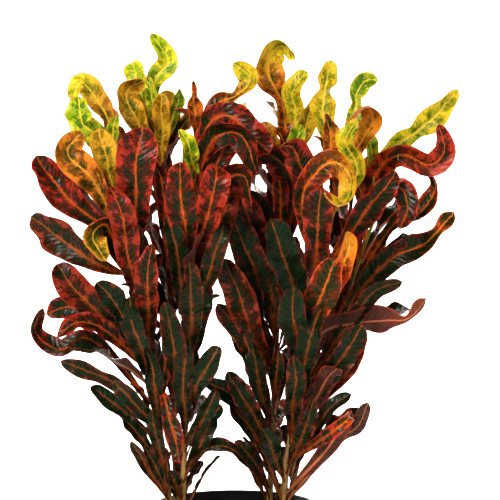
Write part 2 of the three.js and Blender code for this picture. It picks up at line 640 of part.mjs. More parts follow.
function potSolid() {
  const collarFoot = potHeight - collarHeight;
  const bodyTop = rimRadius - lipWidth - collarStep;
  const outline = [
    [0, 0],
    [baseRadius - baseChamfer, 0],
    [baseRadius, baseChamfer],
    [bodyTop - 1, collarFoot],
    [bodyTop + collarStep - 1, collarFoot + 1.2],
    [rimRadius - lipWidth, potHeight - lipHeight],
    [rimRadius, potHeight - lipHeight + 0.8],
    [rimRadius, potHeight - 1],
    [rimRadius - 1, potHeight],
    [rimRadius - lipWidth - wall + 0.6, potHeight],
    [rimRadius - lipWidth - wall, potHeight - 1],
    [bodyTop + collarStep - 1 - wall, collarFoot + 3],
    [potInnerRadius(collarFoot - 1), collarFoot - 1],
    [potInnerRadius(wall), wall],
    [0, wall],
  ];
  const { vertices, triangles } = turned(outline, potSides);
  let pot = solidFrom(vertices, triangles);
  for (let i = 0; i < drainHole.count; i += 1) {
    const angle = (2 * Math.PI * i) / drainHole.count;
    const centre = [drainHole.ring * Math.cos(angle), drainHole.ring * Math.sin(angle)];
    const drill = turned([[0, -5], [drainHole.radius, -5], [drainHole.radius, 8], [0, 8]], drainHole.sides);
    const moved = drill.vertices.map((v, k) => (k % 3 < 2 ? v + centre[k % 3] : v));
    pot = pot.subtract(solidFrom(moved, drill.triangles));
  }
  return pot;
}

// The compost: a full pot's filling with an uneven top, and a hole for each stem.
function soilSolid() {
  const edge = potInnerRadius(soilTop) - gap;
  const foot = potInnerRadius(wall) - gap;
  const outline = [[0, wall + gap], [foot - 0.1, wall + gap], [edge - 0.4, soilTop - 1]];
  [...soilRings].reverse().forEach((share) => outline.push([edge * share, soilTop]));
  outline.push([0, soilTop]);
  const { vertices, triangles } = turned(outline, soilSides);
  for (let i = 0; i < vertices.length; i += 3) {
    if (vertices[i + 2] < soilTop - 0.5) continue;
    const [x, y] = [vertices[i], vertices[i + 1]];
    const lumps = Math.sin(x * 0.11 + 1.3) * Math.cos(y * 0.13) + 0.6 * Math.sin(x * 0.27 + y * 0.21);
    vertices[i + 2] += soilRoughness * lumps;
  }
  let soil = solidFrom(vertices, triangles);
  Object.values(stems).forEach((stem) => {
    soil = soil.subtract(stemSolid(stem, gap));
  });
  return soil;
}

const materials = {
  pot: new THREE.MeshStandardMaterial({ color: 0x17191a, roughness: 0.55, metalness: 0 }),
  soil: new THREE.MeshStandardMaterial({ color: 0x2b211a, roughness: 0.95, metalness: 0 }),
  leaf: new THREE.MeshStandardMaterial({ color: 0x6e2420, roughness: 0.38, metalness: 0 }),
};

const stemNames = {
  leftOuter: 'leafy_stem_left_outer',
  leftRear: 'leafy_stem_left_rear',
  leftInner: 'leafy_stem_left_inner',
  rightInner: 'leafy_stem_right_inner',
  rightFront: 'leafy_stem_right_front',
  rightOuter: 'leafy_stem_right_outer',
};

const croton = new THREE.Group();
croton.add(meshFrom(potSolid(), 'pot', materials.pot));
croton.add(meshFrom(soilSolid(), 'soil', materials.soil));
for (const [name, node] of Object.entries(stemNames)) {
  croton.add(meshFrom(leafyStem(name), node, materials.leaf));
}

export default croton;
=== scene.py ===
import math

import bpy
import numpy as np
from mathutils import Matrix, Vector


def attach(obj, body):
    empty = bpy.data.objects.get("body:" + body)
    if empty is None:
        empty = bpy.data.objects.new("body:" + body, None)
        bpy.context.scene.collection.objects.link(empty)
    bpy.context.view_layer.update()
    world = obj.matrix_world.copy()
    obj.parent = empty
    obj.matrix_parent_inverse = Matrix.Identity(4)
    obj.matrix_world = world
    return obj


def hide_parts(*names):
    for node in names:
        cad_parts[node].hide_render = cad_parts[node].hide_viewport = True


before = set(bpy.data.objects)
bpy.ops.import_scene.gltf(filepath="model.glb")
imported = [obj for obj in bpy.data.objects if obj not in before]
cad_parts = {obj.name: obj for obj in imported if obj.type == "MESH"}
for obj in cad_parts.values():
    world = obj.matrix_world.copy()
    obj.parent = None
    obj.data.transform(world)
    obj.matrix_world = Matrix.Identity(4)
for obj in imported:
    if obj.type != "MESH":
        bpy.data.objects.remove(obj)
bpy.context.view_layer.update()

# A potted croton: black nursery pot, compost, and six leafy stems in two clumps.
# The lists are in millimetres, the scene in metres, +Z up, the front towards -Y.
mm = 0.001
fullTurn = 2 * math.pi
print("frame loaded:", len(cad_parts), "nodes")


# Helpers for node trees, shared by the materials and the geometry trees

class Field:
    # an output in a node tree, which takes part in plain arithmetic
    def __init__(self, tree, socket):
        self.tree, self.socket = tree, socket

    def __add__(self, other):
        return calc("ADD", self, other)

    def __sub__(self, other):
        return calc("SUBTRACT", self, other)

    def __rsub__(self, other):
        return calc("SUBTRACT", other, self)

    def __mul__(self, other):
        return calc("MULTIPLY", self, other)

    def __truediv__(self, other):
        return calc("DIVIDE", self, other)

    def __pow__(self, other):
        return calc("POWER", self, other)


def plug(node, sockets):
    # links each field to its socket, and sets the plain values on theirs
    for name, value in sockets.items():
        if isinstance(value, Field):
            value.tree.links.new(value.socket, node.inputs[name])
        else:
            node.inputs[name].default_value = value


def addNode(tree, kind, sockets=None, **settings):
    node = tree.nodes.new(kind)
    count = len(tree.nodes)
    node.location = (count % 14 * 190 - 1400, count // 14 * -280 + 500)
    for name, value in settings.items():
        setattr(node, name, value)
    plug(node, sockets or {})
    return node


def made(tree, kind, sockets=None, output=0, **settings):  # the output of a new node
    return Field(tree, addNode(tree, kind, sockets, **settings).outputs[output])


def treeOf(*values):
    return next(value.tree for value in values if isinstance(value, Field))


def calc(operation, *values):
    return made(treeOf(*values), "ShaderNodeMath", dict(enumerate(values)), operation=operation)


def vectorCalc(operation, *values, output=0):
    return made(treeOf(*values), "ShaderNodeVectorMath", dict(enumerate(values)), output, operation=operation)


def scaled(vector, amount):
    return made(vector.tree, "ShaderNodeVectorMath", {0: vector, "Scale": amount}, operation="SCALE")


def between(value, start, end):  # 0 at start, 1 at end, with soft ends
    return made(value.tree, "ShaderNodeMapRange", {"Value": value, "From Min": start, "From Max": end},
                interpolation_type="SMOOTHSTEP")


def joinXyz(x, y, z):
    return made(x.tree, "ShaderNodeCombineXYZ", {0: x, 1: y, 2: z})


# Helpers for materials

def startMaterial(name, **finish):
    material = bpy.data.materials.new(name)
    material.use_nodes = True
    tree = material.node_tree
    shader = tree.nodes["Principled BSDF"]
    shader.location = (1500, 500)
    tree.nodes["Material Output"].location = (1800, 500)
    plug(shader, {socketName.replace("_", " "): value for socketName, value in finish.items()})
    return material, tree, shader


def readNumber(tree, name):
    return made(tree, "ShaderNodeAttribute", output="Fac", attribute_name=name)


def objectPlace(tree):
    return made(tree, "ShaderNodeTexCoord", output="Object")


def drawnOut(place, share):  # a share below 1 draws a pattern out along Z
    return made(place.tree, "ShaderNodeMapping", {"Vector": place, "Scale": (1, 1, share)})


def noise(vector, scale, detail=2.0, roughness=0.5):
    return made(vector.tree, "ShaderNodeTexNoise",
                {"Vector": vector, "Scale": scale, "Detail": detail, "Roughness": roughness})


def colorsAlong(value, stops):
    node = addNode(value.tree, "ShaderNodeValToRGB", {0: value})
    elements = node.color_ramp.elements
    for place, color in stops[1:-1]:
        elements.new(place)
    for element, (place, color) in zip(elements, stops):
        element.position = place
        element.color = (*color, 1)
    return Field(value.tree, node.outputs["Color"])


def mixColors(amount, first, second, mode="MIX"):
    return made(treeOf(amount, first, second), "ShaderNodeMix", {0: amount, 6: first, 7: second}, 2,
                data_type="RGBA", blend_type=mode)


def shaded(color, shade):
    return mixColors(1.0, color, joinXyz(shade, shade, shade), "MULTIPLY")


def addBump(shader, height, strength, distance):
    bump = made(height.tree, "ShaderNodeBump", {"Height": height, "Strength": strength, "Distance": distance})
    plug(shader, {"Normal": bump})


# Helpers for geometry trees

socketKinds = {int: "NodeSocketInt", float: "NodeSocketFloat", bpy.types.Material: "NodeSocketMaterial"}


def startTree(name, values):
    # a geometry tree with one named input for each of the values
    tree = bpy.data.node_groups.new(name, "GeometryNodeTree")
    tree.interface.new_socket("Geometry", in_out="OUTPUT", socket_type="NodeSocketGeometry")
    tree.interface.new_socket("Geometry", in_out="INPUT", socket_type="NodeSocketGeometry")
    for socketName, value in values.items():
        item = tree.interface.new_socket(socketName, in_out="INPUT", socket_type=socketKinds[type(value)])
        item.default_value = value
    source = tree.nodes.new("NodeGroupInput")
    return tree, {socket.name: Field(tree, socket) for socket in source.outputs}


def finishTree(geometry):
    out = geometry.tree.nodes.new("NodeGroupOutput")
    out.location = (1600, 0)
    plug(out, {0: geometry})
    return geometry.tree


def through(geometry, kind, sockets=None, **settings):  # what comes out when geometry goes through a node
    return made(geometry.tree, "GeometryNode" + kind, {0: geometry, **(sockets or {})}, **settings)


def joined(*parts):
    join = addNode(treeOf(*parts), "GeometryNodeJoinGeometry")
    for part in parts:
        plug(join, {0: part})
    return Field(treeOf(*parts), join.outputs[0])


def readField(tree, name, kind="FLOAT"):
    node = addNode(tree, "GeometryNodeInputNamedAttribute", {"Name": name}, data_type=kind)
    return Field(tree, next(s for s in node.outputs if s.enabled and s.name == "Attribute"))


def grow(name, guide, tree, values):
    # runs a geometry tree on a guide mesh and keeps the plain mesh that it makes
    holder = bpy.data.objects.new(name, guide)
    bpy.context.scene.collection.objects.link(holder)
    modifier = holder.modifiers.new(tree.name, "NODES")
    modifier.node_group = tree
    for item in tree.interface.items_tree:
        if item.item_type == "SOCKET" and item.in_out == "INPUT" and item.name in values:
            modifier[item.identifier] = values[item.name]
    depsgraph = bpy.context.evaluated_depsgraph_get()
    grown = bpy.data.meshes.new_from_object(holder.evaluated_get(depsgraph))
    grown.name = name
    holder.modifiers.remove(modifier)
    holder.data = grown
    return holder


def keepPiece(piece, slotName, *nodes):
    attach(piece, "root")
    if nodes:
        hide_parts(*nodes)


def guideMesh(name, points, edges, numbers, vectors):
    mesh = bpy.data.meshes.new(name)
    mesh.from_pydata(points, edges, [])
    for key, values in numbers.items():
        mesh.attributes.new(key, "FLOAT", "POINT").data.foreach_set("value", np.array(values, np.float32))
    for key, values in vectors.items():
        flat = np.array(values, np.float32).ravel()
        mesh.attributes.new(key, "FLOAT_VECTOR", "POINT").data.foreach_set("vector", flat)
    return mesh


# Leaf finishes. The tone goes from 0, a dark old leaf, over crimson and rust to 1, a lime young one. Each row
# gives the green between the veins, the deep tone that it turns to, the bright flares, the midrib, the margin
# and the underside.
leafColors = {
    0.0: [(0.006, 0.018, 0.007), (0.022, 0.015, 0.006), (0.13, 0.035, 0.014), (0.11, 0.044, 0.014),
          (0.06, 0.014, 0.010), (0.062, 0.036, 0.029)],
    0.35: [(0.011, 0.019, 0.006), (0.055, 0.011, 0.006), (0.23, 0.024, 0.012), (0.38, 0.075, 0.014),
           (0.32, 0.04, 0.020), (0.085, 0.032, 0.026)],
    0.55: [(0.026, 0.024, 0.004), (0.13, 0.028, 0.006), (0.36, 0.075, 0.010), (0.52, 0.16, 0.020),
           (0.44, 0.09, 0.020), (0.18, 0.06, 0.028)],
    0.75: [(0.045, 0.058, 0.006), (0.19, 0.09, 0.010), (0.37, 0.19, 0.018), (0.50, 0.29, 0.040),
           (0.44, 0.14, 0.03), (0.34, 0.18, 0.05)],
    1.0: [(0.07, 0.13, 0.008), (0.20, 0.25, 0.012), (0.43, 0.36, 0.022), (0.50, 0.40, 0.05),
          (0.44, 0.27, 0.03), (0.36, 0.32, 0.06)],
}
leafPattern = {"veinSpacing": 8 * mm, "veinSlant": 0.95, "veinWidth": 0.12, "sideShift": 0.37,
               "midribBase": 2.1 * mm, "midribTip": 0.5 * mm, "marginWidth": 1.9 * mm, "patchSize": 11 * mm,
               "toneDrift": 0.22, "bumpDepth": 0.8 * mm}
# How much each of these adds to the spread of colour over the green, and where the deep tone and the flares
# set in
spreadRule = {"fleck": 0.22, "edge": 0.24, "tip": 0.10, "flush": 0.27, "young": 0.12, "variety": 0.06,
              "old": -0.05, "deep": (0.79, 0.90), "flares": (0.94, 1.06)}
# How strongly the marks of both sides show
upperMarks = {"smear": 0.6, "veins": 0.22, "margin": (0.35, 0.5), "midrib": (0.5, 0.45), "bump": 0.8}
underMarks = {"mottle": 0.7, "deepMottle": 0.55, "veins": 0.14, "margin": 0.7, "midrib": 0.85, "bump": 0.5,
              "pale": (0.40, 0.19, 0.10, 1), "paleShare": 0.45}


def leafFields(tree):
    # distances on the blade, in metres, and where its marks lie, from what the blade's points carry
    across, halfWidth, seed, lengthwise, share = (
        readNumber(tree, key) for key in ("across", "halfWidth", "leafSeed", "lengthwise", "share"))
    out = calc("ABSOLUTE", across)
    x = out * halfWidth
    sideShift = calc("GREATER_THAN", across, 0.0) * leafPattern["sideShift"]
    slant = (lengthwise - x * leafPattern["veinSlant"]) / leafPattern["veinSpacing"] + sideShift
    midribHalf = (1.0 - share) * leafPattern["midribBase"] + leafPattern["midribTip"]
    veinPlace = calc("PINGPONG", slant, 0.5)
    drift = noise(joinXyz(x * 30.0, share * 2.0, seed), 1.3) - 0.5
    marginWidth = leafPattern["marginWidth"]
    return {
        "x": x, "out": out, "slant": slant, "lengthwise": lengthwise, "sideShift": sideShift, "seed": seed,
        "share": share, "midribHalf": midribHalf, "veinPlace": veinPlace,
        "tone": drift * leafPattern["toneDrift"] + readNumber(tree, "tone"),
        "vein": between(veinPlace, leafPattern["veinWidth"], 0.02),
        "midrib": between(x, midribHalf * 1.7, midribHalf * 0.4),
        "margin": between(halfWidth - x, marginWidth, marginWidth * 0.4),
    }


def toneColor(f, column):  # the colour of one column of leafColors at the leaf's own tone
    return colorsAlong(f["tone"], [(place, row[column]) for place, row in leafColors.items()])


def upperSideMaterial():
    material, tree, shader = startMaterial("leafUpperSide", IOR=1.33, Specular_IOR_Level=0.22)
    f = leafFields(tree)
    tone, size = f["tone"], leafPattern["patchSize"]
    green, deep, flare, midribColor, marginColor = (toneColor(f, column) for column in range(5))
    patchPlace = joinXyz((f["x"] * -0.45 + f["lengthwise"]) / size, f["x"] / (size * 1.2),
                         f["seed"] * 11.0 + f["sideShift"])
    patch = noise(patchPlace, 1.0, 3.5, 0.62)
    fleck = noise(patchPlace, 5.0)
    # colour grows from the green middle through a deep tone to the bright flares at the margin and the tip
    reasons = {"fleck": fleck, "edge": f["out"] ** 2.0, "tip": f["share"], "flush": readNumber(tree, "flush"),
               "young": between(tone, 0.6, 0.8), "variety": calc("SINE", f["seed"] * 12.9),
               "old": between(tone, 0.25, 0.05)}
    spread = patch
    for reason, amount in reasons.items():
        spread = amount * spreadRule[reason] + spread
    color = mixColors(between(spread, *spreadRule["deep"]), green, deep)
    color = mixColors(between(spread, *spreadRule["flares"]), color, flare)
    color = shaded(color, fleck * 0.9 + 0.55)
    # rusty smears beside the midrib, then side veins, margin and midrib, each broken up by the noise
    nearMidrib = between(f["x"], f["midribHalf"] * 4.0, f["midribHalf"])
    smear = between(fleck * 0.4 + patch, 0.62, 0.80)
    color = mixColors(nearMidrib * smear * upperMarks["smear"], color, midribColor)
    color = mixColors(f["vein"] * between(fleck, 0.35, 0.65) * upperMarks["veins"], color, midribColor)
    least, more = upperMarks["margin"]
    marginShow = (between(tone, 0.05, 0.35) * more + least) * between(patch, 0.34, 0.56)
    color = mixColors(f["margin"] * marginShow, color, marginColor)
    least, more = upperMarks["midrib"]
    color = mixColors(f["midrib"] * (between(fleck, 0.3, 0.6) * more + least), color, midribColor)
    plug(shader, {"Base Color": color, "Roughness": patch * 0.26 + 0.14})
    height = fleck * 0.5 + (f["veinPlace"] - f["midrib"] * 0.9)
    addBump(shader, height, upperMarks["bump"], leafPattern["bumpDepth"])
    return material


def undersideMaterial():
    material, tree, shader = startMaterial("leafUnderside", IOR=1.33, Specular_IOR_Level=0.2)
    f = leafFields(tree)
    patch = noise(joinXyz(f["slant"], f["x"] * 90.0, f["seed"]), 1.6, 3.0, 0.6)
    color = mixColors(between(patch, 0.44, 0.58) * underMarks["mottle"], toneColor(f, 5), toneColor(f, 1))
    color = mixColors(between(patch, 0.56, 0.68) * underMarks["deepMottle"], color, toneColor(f, 0))
    color = shaded(color, patch * 0.9 + 0.55)
    pale = mixColors(underMarks["paleShare"], toneColor(f, 3), underMarks["pale"])
    color = mixColors(f["vein"] * underMarks["veins"], color, pale)
    color = mixColors(f["margin"] * underMarks["margin"], color, toneColor(f, 4))
    color = mixColors(f["midrib"] * underMarks["midrib"], color, pale)
    plug(shader, {"Base Color": color, "Roughness": patch * 0.2 + 0.38})
    addBump(shader, f["midrib"] * 1.4 + f["vein"] * 0.35, underMarks["bump"], leafPattern["bumpDepth"])
    return material


barkColors = [(0, (0.26, 0.165, 0.06)), (0.45, (0.24, 0.14, 0.045)), (0.75, (0.16, 0.14, 0.035)),
              (1, (0.26, 0.32, 0.05))]  # from the foot to the growing tip


def barkMaterial():
    material, tree, shader = startMaterial("stemBark", IOR=1.4)
    place = objectPlace(tree)
    grain = noise(drawnOut(place, 0.28), 620.0, 4.0, 0.65)
    blotch = noise(place, 90.0)
    color = shaded(colorsAlong(readNumber(tree, "share"), barkColors), grain * 0.8 + blotch * 0.5 + 0.35)
    plug(shader, {"Base Color": color, "Roughness": grain * 0.25 + 0.5})
    addBump(shader, grain, 0.6, 0.5 * mm)
    return material


upperSide = upperSideMaterial()
underside = undersideMaterial()
bark = barkMaterial()
print("leaf and bark materials made")


# Stems: foot in the compost, growing tip, and radius at the foot
stemRule = {"foot": 130, "spread": 1.35, "taper": 0.5, "bud": 0.35, "budFrom": 0.97, "steps": 60}
stemRelief = {"Sides": 16, "Scar Spacing": 7.5 * mm}
stems = {
    "leftOuter": {"node": "leafy_stem_left_outer", "from": (-81, -6), "to": (-160, -40, 628), "radius": 4.7},
    "leftRear": {"node": "leafy_stem_left_rear", "from": (-76, 12), "to": (-100, 52, 660), "radius": 4.4},
    "leftInner": {"node": "leafy_stem_left_inner", "from": (-69, -4), "to": (-42, -34, 640), "radius": 4.0},
    "rightInner": {"node": "leafy_stem_right_inner", "from": (44, 10), "to": (70, 48, 645), "radius": 4.4},
    "rightFront": {"node": "leafy_stem_right_front", "from": (57, -8), "to": (138, -40, 620), "radius": 4.8},
    "rightOuter": {"node": "leafy_stem_right_outer", "from": (63, 9), "to": (192, 36, 575), "radius": 4.3},
}

# Blades: how they are cut, waved and folded. Shares are of the leaf's length or half width.
bladeRule = {"steps": 48, "petioleShare": 0.07, "petioleWidth": 3.0, "tipWidth": 1.2, "curlStart": 0.55,
             "twistStart": 0.15, "middleStep": 22, "wave": 0.085, "waveCount": 2.3, "waveBluntness": 3.4,
             "uneven": 0.1, "unevenCount": 1.9, "startPower": 0.85, "endPower": 0.52, "bluntness": (2.7, 4.7),
             "waistLength": 0.07, "neighbourMargin": -6, "endTone": (0.55, 0.85)}
bladeRelief = {"Steps Across": 9, "Fold": 0.34, "Ruffle": 0.21, "Ruffle Count": 4.6, "Quilt": 0.7 * mm,
               "Vein Spacing": leafPattern["veinSpacing"], "Vein Slant": leafPattern["veinSlant"],
               "Blade Thickness": 0.7 * mm, "Petiole Thickness": 2.4 * mm}


def routed(at, way, wide, twist, face, tone, flush, **more):
    return dict(more, at=at, way=way, wide=wide, twist=twist, face=face, tone=tone, flush=flush, placed=True)


def bent(at, tip, wide, bend, curl, *others, **more):
    return routed(at, None, wide, *others, tip=tip, bend=bend, curl=curl, **more)


# Leaves placed one by one, with their values in the order of bent and routed above. at is the share of the
# stem's height, tip the blade's furthest point, and way what a routed midrib passes up to its end. bend, curl
# and twist are turns in degrees along the midrib, along its end and about it. face is 1 where the upper side
# looks to the front and -1 where the underside does. tone and flush choose the colours, and endTone is the
# tone at the tip. waist is where a blade is narrowed and by how much.
leaves = {
    "leftOuter": [
        routed(0.97, [(-160, -42, 676), (-180, -45, 712), (-196, -48, 727), (-207, -52, 703)], 29, 20, 0.7,
               0.72, 0.5, endTone=0.95),
        routed(0.95, [(-174, -62, 658), (-192, -70, 672), (-195, -74, 706)], 36, -30, 1, 1, 0.15),
        routed(0.81, [(-180, -86, 604), (-204, -95, 634), (-188, -99, 660)], 37, 25, 1, 0.66, 0.35),
        bent(0.83, (-168, -92, 664), 33, 10, 50, -40, 0.7, 0.78, 0.3),
        bent(0.98, (-149, -62, 682), 17, 10, 30, 60, 0.6, 1, 0.05),
        routed(0.78, [(-205, -70, 576), (-236, -66, 612), (-249, -62, 633)], 40, 35, 1, 0.34, 0.55),
        bent(0.76, (-232, 4, 572), 28, 20, 60, 80, 0.5, 0.12, 0.2),
        routed(0.7, [(-180, -60, 500), (-226, -48, 532), (-260, -36, 556)], 42, -35, 1, 0.14, 0.75),
        routed(0.66, [(-146, -88, 520), (-158, -106, 544), (-172, -112, 530), (-156, -116, 500)], 31, 30, 0.8,
               0.24, 0.3, endTone=0.8),
        routed(0.55, [(-170, -46, 430), (-208, -52, 474), (-226, -46, 496)], 40, 25, 1, 0.2, 0.5),
        routed(0.36, [(-182, -30, 399), (-224, -34, 386), (-254, -34, 409), (-245, -34, 440)], 28, 40, 0.6,
               0.25, 0.5),
        routed(0.46, [(-168, -12, 426), (-214, -2, 441), (-246, 8, 430)], 32, -50, 0.8, 0.25, 0.5),
        routed(0.45, [(-160, -52, 410), (-196, -66, 424), (-222, -70, 404)], 25, 70, 0.7, 0.22, 0.5),
        routed(0.3, [(-150, -30, 340), (-188, -42, 360), (-221, -46, 373)], 22, -20, 1, 0.1, 0.3),
        bent(0.27, (-186, -16, 338), 21, 24, 20, 50, 0.9, 0.05, 0.1),
        bent(0.29, (-150, -68, 350), 22, 50, 60, -60, 0.7, 0.06, 0.15),
        bent(0.19, (-158, -26, 308), 20, 16, 40, 80, 0.7, 0.05, 0.1),
        bent(0.115, (-132, -34, 270), 15, -10, 20, -60, 0.8, 0.12, 0.2),
        bent(0.71, (-112, -110, 664), 49, 22, 60, -12, 1, 0.33, 0.6),
        bent(0.53, (-122, -116, 540), 36, 20, 40, 40, -0.9, 0.08, 0.2),
        bent(0.47, (-170, -102, 474), 32, 24, 60, 60, 0.9, 0.08, 0.3),
        routed(0.4, [(-88, -56, 325), (-68, -76, 248)], 22, 30, 0.9, 0.25, 0.5),
        bent(0.6, (-152, -110, 592), 34, 30, 60, 40, 0.9, 0.25, 0.6),
        bent(0.4, (-130, -86, 456), 29, 20, 50, -50, 0.8, 0.08, 0.2),
        bent(0.26, (-112, -64, 392), 22, 12, 40, 60, 0.9, 0.07, 0.2),
        bent(0.16, (-104, -52, 312), 19, 20, 40, -70, 0.7, 0.06, 0.1),
        bent(0.46, (-101, -94, 522), 31, 15, 40, -50, 0.9, 0.22, 0.5),
    ],
    "leftRear": [
        routed(0.99, [(-108, 46, 735), (-90, 44, 765), (-112, 40, 802)], 27, 30, 1, 1, 0.3,
               waist=(0.42, 0.35)),
        bent(0.98, (-136, 42, 764), 29, 30, 60, -20, 1, 0.98, 0.2),
        routed(0.93, [(-128, 14, 680), (-140, 6, 718), (-119, 2, 735)], 32, 40, 0.9, 0.78, 0.5),
        bent(0.96, (-74, 32, 728), 19, -10, 30, 90, 1, 1, 0.1),
        bent(0.92, (-96, 2, 718), 24, 10, 30, 20, 0.8, 0.8, 0.4),
        bent(0.97, (-112, 26, 742), 16, 15, 60, -80, 0.7, 1, 0.1),
    ],
    "leftInner": [
        bent(0.97, (-53, -26, 732), 21, 5, -20, 80, 0.6, 0.6, 0.8),
        routed(0.95, [(-30, -22, 692), (2, -16, 714), (18, -14, 736), (-2, -12, 756)], 29, 20, 0.6, 0.52, 0.6,
               waist=(0.66, 0.55), endTone=0.92),
        bent(0.97, (8, 6, 704), 29, 40, 60, -40, 1, 0.97, 0.3),
        routed(0.93, [(-37, -60, 664), (-4, -76, 680), (44, -86, 634)], 40, -20, 0.7, 0.3, 0.45),
        routed(0.86, [(-32, -76, 646), (4, -94, 656), (30, -102, 606)], 36, 30, 0.8, 0.28, 0.45),
        bent(0.9, (-69, -76, 664), 21, 20, 60, 50, 0.8, 1, 0.1),
        bent(0.72, (-22, -112, 618), 37, 35, 90, 30, 1, 0.3, 0.55),
        bent(0.66, (-66, -116, 622), 38, 25, 50, -20, 1, 0.33, 0.55),
        bent(0.53, (-38, -100, 537), 31, 15, 20, -60, 0.5, 0.18, 0.3),
        bent(0.56, (-14, -84, 545), 27, 15, 70, 50, 0.8, 0.08, 0.2),
        bent(0.34, (-18, -86, 394), 27, 40, 70, -20, 0.9, 0.07, 0.2),
        bent(0.24, (-24, -66, 340), 22, 20, 60, 70, 0.8, 0.06, 0.2),
        bent(0.32, (-86, -102, 450), 29, 15, 20, 25, 0.8, 0.1, 0.2),
        bent(0.43, (-38, -66, 476), 28, 10, 30, 40, 0.9, 0.08, 0.2),
        routed(0.78, [(-22, -84, 590), (10, -106, 604), (22, -112, 560)], 33, 40, 0.8, 0.25, 0.6),
        bent(0.26, (-58, -78, 408), 28, 20, 30, -60, 0.9, 0.07, 0.2),
        bent(0.44, (-56, -108, 500), 30, 20, 50, 50, 0.9, 0.07, 0.2),
        bent(0.5, (-84, -98, 556), 30, 15, 30, 40, 0.7, 0.12, 0.2),
        bent(0.27, (-16, -42, 316), 20, 40, 30, 40, 0.7, 0.05, 0.1),
        bent(0.62, (0, -64, 600), 34, 25, 40, 20, 0.9, 0.14, 0.5),
        bent(0.84, (-4, -70, 668), 33, 40, 50, 30, 0.9, 0.28, 0.6),
        bent(0.16, (-26, -40, 306), 23, 30, 40, 40, 0.8, 0.08, 0.3),
    ],
    "rightInner": [
        routed(0.93, [(64, 33, 700), (46, 29, 742), (46, 25, 768), (62, 22, 782), (79, 18, 764)], 37, 25, 0.8,
               0.6, 0.8, waist=(0.5, 0.4), endTone=0.9),
        routed(0.97, [(80, 34, 694), (74, 28, 722), (94, 24, 750)], 28, -60, 1, 0.93, 0.4),
        bent(0.94, (104, 4, 712), 26, 15, 20, 60, 1, 0.88, 0.7),
        bent(0.9, (86, -12, 676), 24, 10, 50, -40, 1, 1, 0.1),
        bent(0.89, (36, 14, 682), 25, 10, 40, 30, 0.9, 0.75, 0.3),
        routed(0.7, [(76, -8, 590), (48, -22, 634), (16, -22, 626)], 36, -30, 0.8, 0.22, 0.7),
        routed(0.62, [(48, -6, 530), (22, -22, 572), (-4, -24, 574)], 35, 30, 0.9, 0.15, 0.5),
        bent(0.43, (4, -18, 462), 31, 25, 50, -50, 0.8, 0.08, 0.2),
        routed(0.09, [(26, -20, 222), (2, -34, 257), (-28, -42, 264), (-56, -46, 248)], 22, 30, 0.5, 0.1,
               0.2),
        bent(0.2, (-8, -22, 322), 23, 20, 20, 40, 0.8, 0.06, 0.1),
        bent(0.27, (22, -28, 398), 25, 15, 30, -60, 0.9, 0.07, 0.2),
        bent(0.5, (30, -30, 524), 32, 25, 60, 40, 0.9, 0.09, 0.3),
        bent(0.33, (-4, -16, 404), 28, 30, 40, 60, 0.8, 0.07, 0.2),
        bent(0.22, (-10, -4, 356), 22, 20, 30, -40, 0.7, 0.06, 0.1),
        bent(0.14, (0, -34, 270), 19, 30, 40, 50, 0.8, 0.05, 0.1),
        bent(0.6, (4, -50, 594), 39, 15, 40, -25, 0.9, 0.2, 0.5),
        bent(0.52, (-4, -56, 556), 40, 25, 40, 30, 0.9, 0.12, 0.5),
        bent(0.4, (-12, -54, 503), 39, 20, 30, -30, 0.9, 0.14, 0.6),
        bent(0.24, (-6, -50, 352), 28, 20, 40, 30, 0.9, 0.07, 0.3),
        routed(0.2, [(18, -20, 312), (-42, -48, 350)], 27, 30, 0.8, 0.1, 0.3),
        routed(0.3, [(16, -30, 392), (-22, -44, 446)], 28, -30, 0.8, 0.12, 0.4),
    ],
    "rightFront": [
        routed(0.97, [(113, -32, 690), (124, -24, 758)], 34, 20, 1, 0.88, 0.3, waist=(0.74, 0.6)),
        routed(0.98, [(154, -34, 690), (155, -31, 712), (166, -28, 730), (184, -26, 732)], 25, 25, 1, 0.96,
               0.05, waist=(0.66, 0.35)),
        routed(0.93, [(160, -58, 652), (175, -66, 680), (162, -77, 691), (139, -80, 672)], 28, -40, 0.8, 0.64,
               1),
        bent(0.9, (114, -62, 686), 24, 15, 20, 60, 0.8, 0.6, 0.4),
        routed(0.87, [(152, -76, 612), (138, -90, 648), (152, -96, 676)], 27, -70, 1, 0.9, 0.5),
        routed(0.7, [(84, -98, 570), (103, -114, 610), (124, -122, 621), (142, -128, 601), (131, -133, 570),
               (109, -127, 583)], 33, 15, 0.85, 0.4, 0.55, endTone=0.85),
        bent(0.64, (106, -124, 590), 38, 15, 50, -20, 0.8, 0.25, 0.3),
        routed(0.7, [(160, -68, 556), (188, -80, 590), (201, -84, 612)], 34, 40, 1, 0.33, 0.4),
        routed(0.66, [(172, -58, 566), (206, -66, 594), (217, -74, 568), (205, -84, 540)], 29, -40, 0.7, 0.3,
               0.6),
        bent(0.6, (139, -128, 534), 23, 50, 90, 50, 1, 0.36, 0.9, endTone=0.68),
        bent(0.52, (124, -132, 504), 40, 15, 90, -15, 0.8, 0.44, 0.25),
        bent(0.54, (44, -112, 552), 42, 20, 20, 25, 0.8, 0.07, 0.15),
        bent(0.3, (166, -52, 408), 34, 20, 10, -25, 1, 0.45, 0.3),
        routed(0.4, [(150, -58, 428), (176, -64, 462), (211, -64, 474)], 23, 40, 0.9, 0.08, 0.2),
        routed(0.34, [(103, -40, 398), (150, -54, 422), (190, -60, 427), (218, -58, 427), (242, -54, 453)],
               36, 20, -0.8, 0.14, 0.5, waist=(0.86, 0.72), endTone=0.45),
        bent(0.28, (126, -104, 368), 27, 20, 40, 20, -1, 0.25, 0.4),
        bent(0.22, (146, -74, 334), 21, 20, 50, -60, 0.8, 0.05, 0.1),
        routed(0.13, [(100, -58, 245), (128, -70, 280), (146, -77, 313)], 21, -30, -1, 0.2, 0.3),
